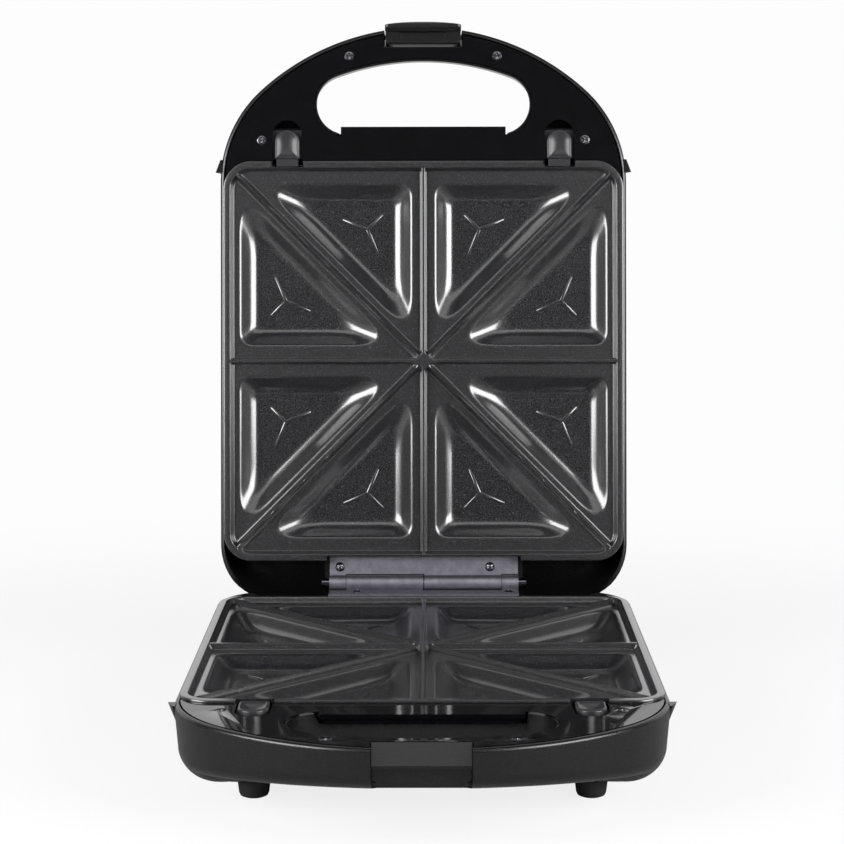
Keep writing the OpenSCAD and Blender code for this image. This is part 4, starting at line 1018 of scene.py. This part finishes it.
def paper(pale):
    """The floor's paper. The camera sees it fade into the plain backdrop away from the object, and
    glossy faces see it bright only behind the object and dim before it."""
    made = finish("pale_paper", pale, pale, 4, 0.0, {}, (0.9, 1.0))
    tree = made.node_tree
    ray = add(tree, "ShaderNodeLightPath").outputs
    place = add(tree, "ShaderNodeTexCoord").outputs["Object"]
    reach = add(tree, "ShaderNodeVectorMath", {0: place}, operation="LENGTH").outputs["Value"]
    depth = add(tree, "ShaderNodeSeparateXYZ", {"Vector": place}).outputs["Y"]
    seen = product(tree, mapped(tree, reach, 0.25, 0.8, FLOOR_LIFT), ray["Is Camera Ray"])
    shining = product(tree, mapped(tree, depth, 0.5, 1.8), ray["Is Glossy Ray"], seen)
    front = mapped(tree, depth, -0.9, -0.35, 0.0, 0.32)
    body = tree.nodes["Principled BSDF"]
    tree.links.new(mixed(tree, ray["Is Glossy Ray"], (*pale, 1), front), body.inputs["Base Color"])
    glow = add(tree, "ShaderNodeEmission", {"Color": (*pale, 1), "Strength": 1.0})
    both = add(tree, "ShaderNodeMixShader", {"Fac": shining, 1: body.outputs[0], 2: glow.outputs[0]})
    tree.links.new(both.outputs[0], tree.nodes["Material Output"].inputs["Surface"])
    return made


def room(pale):
    """A world that the camera sees as plain backdrop. For the rest, the photographer's side of the
    room is dark, the far side is pale, and both fade overhead."""
    world = bpy.data.worlds.new("studio")
    world.use_nodes = True
    tree = world.node_tree
    ray = add(tree, "ShaderNodeLightPath").outputs
    way = add(tree, "ShaderNodeTexCoord").outputs["Generated"]
    way = add(tree, "ShaderNodeSeparateXYZ", {"Vector": way}).outputs
    ahead = mapped(tree, way["Y"], 0.2, 0.7, 0.02, 0.95)
    above = mapped(tree, way["Z"], 0.3, 0.85, 1.0, 0.2)
    behind = mapped(tree, way["Y"], -0.4, -0.9, 0.0, 0.06)
    level = product(tree, ahead, above, behind)
    lit = add(tree, "ShaderNodeBackground", {"Color": (1, 1, 1, 1), "Strength": level})
    plain = add(tree, "ShaderNodeBackground", {"Color": (*pale, 1), "Strength": 1.0})
    both = add(tree, "ShaderNodeMixShader", {"Fac": ray["Is Camera Ray"], 1: lit.outputs[0],
        2: plain.outputs[0]})
    tree.links.new(both.outputs[0], tree.nodes["World Output"].inputs["Surface"])
    return world


class TOASTER_OT_studio(bpy.types.Operator):
    """Set up the camera, the pale floor and the soft lamps"""

    bl_idname = "toaster.studio"
    bl_label = "Studio"

    def execute(self, context):
        scene = context.scene
        data = bpy.data.cameras.new("camera")
        data.sensor_width, data.lens, data.clip_end = SENSOR, LENS, 50
        camera = bpy.data.objects.new("camera", data)
        scene.collection.objects.link(camera)
        camera.matrix_world = look(CAMERA_SPOT, *CAMERA_TURNS)
        scene.camera = camera
        # floor that turns up into a wall far behind
        turn = np.linspace(0, math.pi / 2, 16)
        y = np.concatenate([[FLOOR_FRONT, FLOOR_REAR], FLOOR_REAR + COVE_R * np.sin(turn[1:]),
            [FLOOR_REAR + COVE_R]])
        z = np.concatenate([[0, 0], COVE_R * (1 - np.cos(turn[1:])), [WALL_TOP]])
        sides = [np.column_stack([np.full(len(y), x), y, z]) for x in (-FLOOR_HALF, FLOOR_HALF)]
        mesh = bpy.data.meshes.new("floor")
        mesh.from_pydata(np.concatenate(sides), [], sheet_faces(2, len(y), turned=True).tolist())
        mesh.polygons.foreach_set("use_smooth", np.ones(len(mesh.polygons), bool))
        floor = bpy.data.objects.new("floor", mesh)
        scene.collection.objects.link(floor)
        pale = tuple(scene.toaster_colours.backdrop)
        mesh.materials.append(paper(pale))
        scene.world = room(pale)
        for row in LAMPS:
            lamp(*row)
        scene.view_settings.view_transform = "Standard"
        return {"FINISHED"}


class TOASTER_PT_panel(bpy.types.Panel):
    """Lists the pieces that can be formed."""

    bl_label = "Sandwich toaster"
    bl_idname = "TOASTER_PT_panel"
    bl_space_type = "VIEW_3D"
    bl_region_type = "UI"
    bl_category = "Toaster"

    def draw(self, context):
        for name in STEPS:
            self.layout.operator("toaster." + name)
        for group in (context.scene.toaster_sizes, context.scene.toaster_colours):
            column = self.layout.column()
            for key in group.__annotations__:
                column.prop(group, key)


STEPS = ("finishes", "plates", "housings", "latch", "releases", "frames", "screws", "studio")
CLASSES = (ToasterSizes, ToasterColours, TOASTER_OT_finishes, TOASTER_OT_plates, TOASTER_OT_housings,
    TOASTER_OT_latch, TOASTER_OT_releases, TOASTER_OT_frames, TOASTER_OT_screws,
    TOASTER_OT_studio, TOASTER_PT_panel)


def register():
    for kind in CLASSES:
        bpy.utils.register_class(kind)
    bpy.types.Scene.toaster_sizes = PointerProperty(type=ToasterSizes)
    bpy.types.Scene.toaster_colours = PointerProperty(type=ToasterColours)


def unregister():
    del bpy.types.Scene.toaster_sizes
    del bpy.types.Scene.toaster_colours
    for kind in reversed(CLASSES):
        bpy.utils.unregister_class(kind)


def main():
    register()
    for name in STEPS:
        getattr(bpy.ops.toaster, name)()


if __name__ == "__main__":
    main()
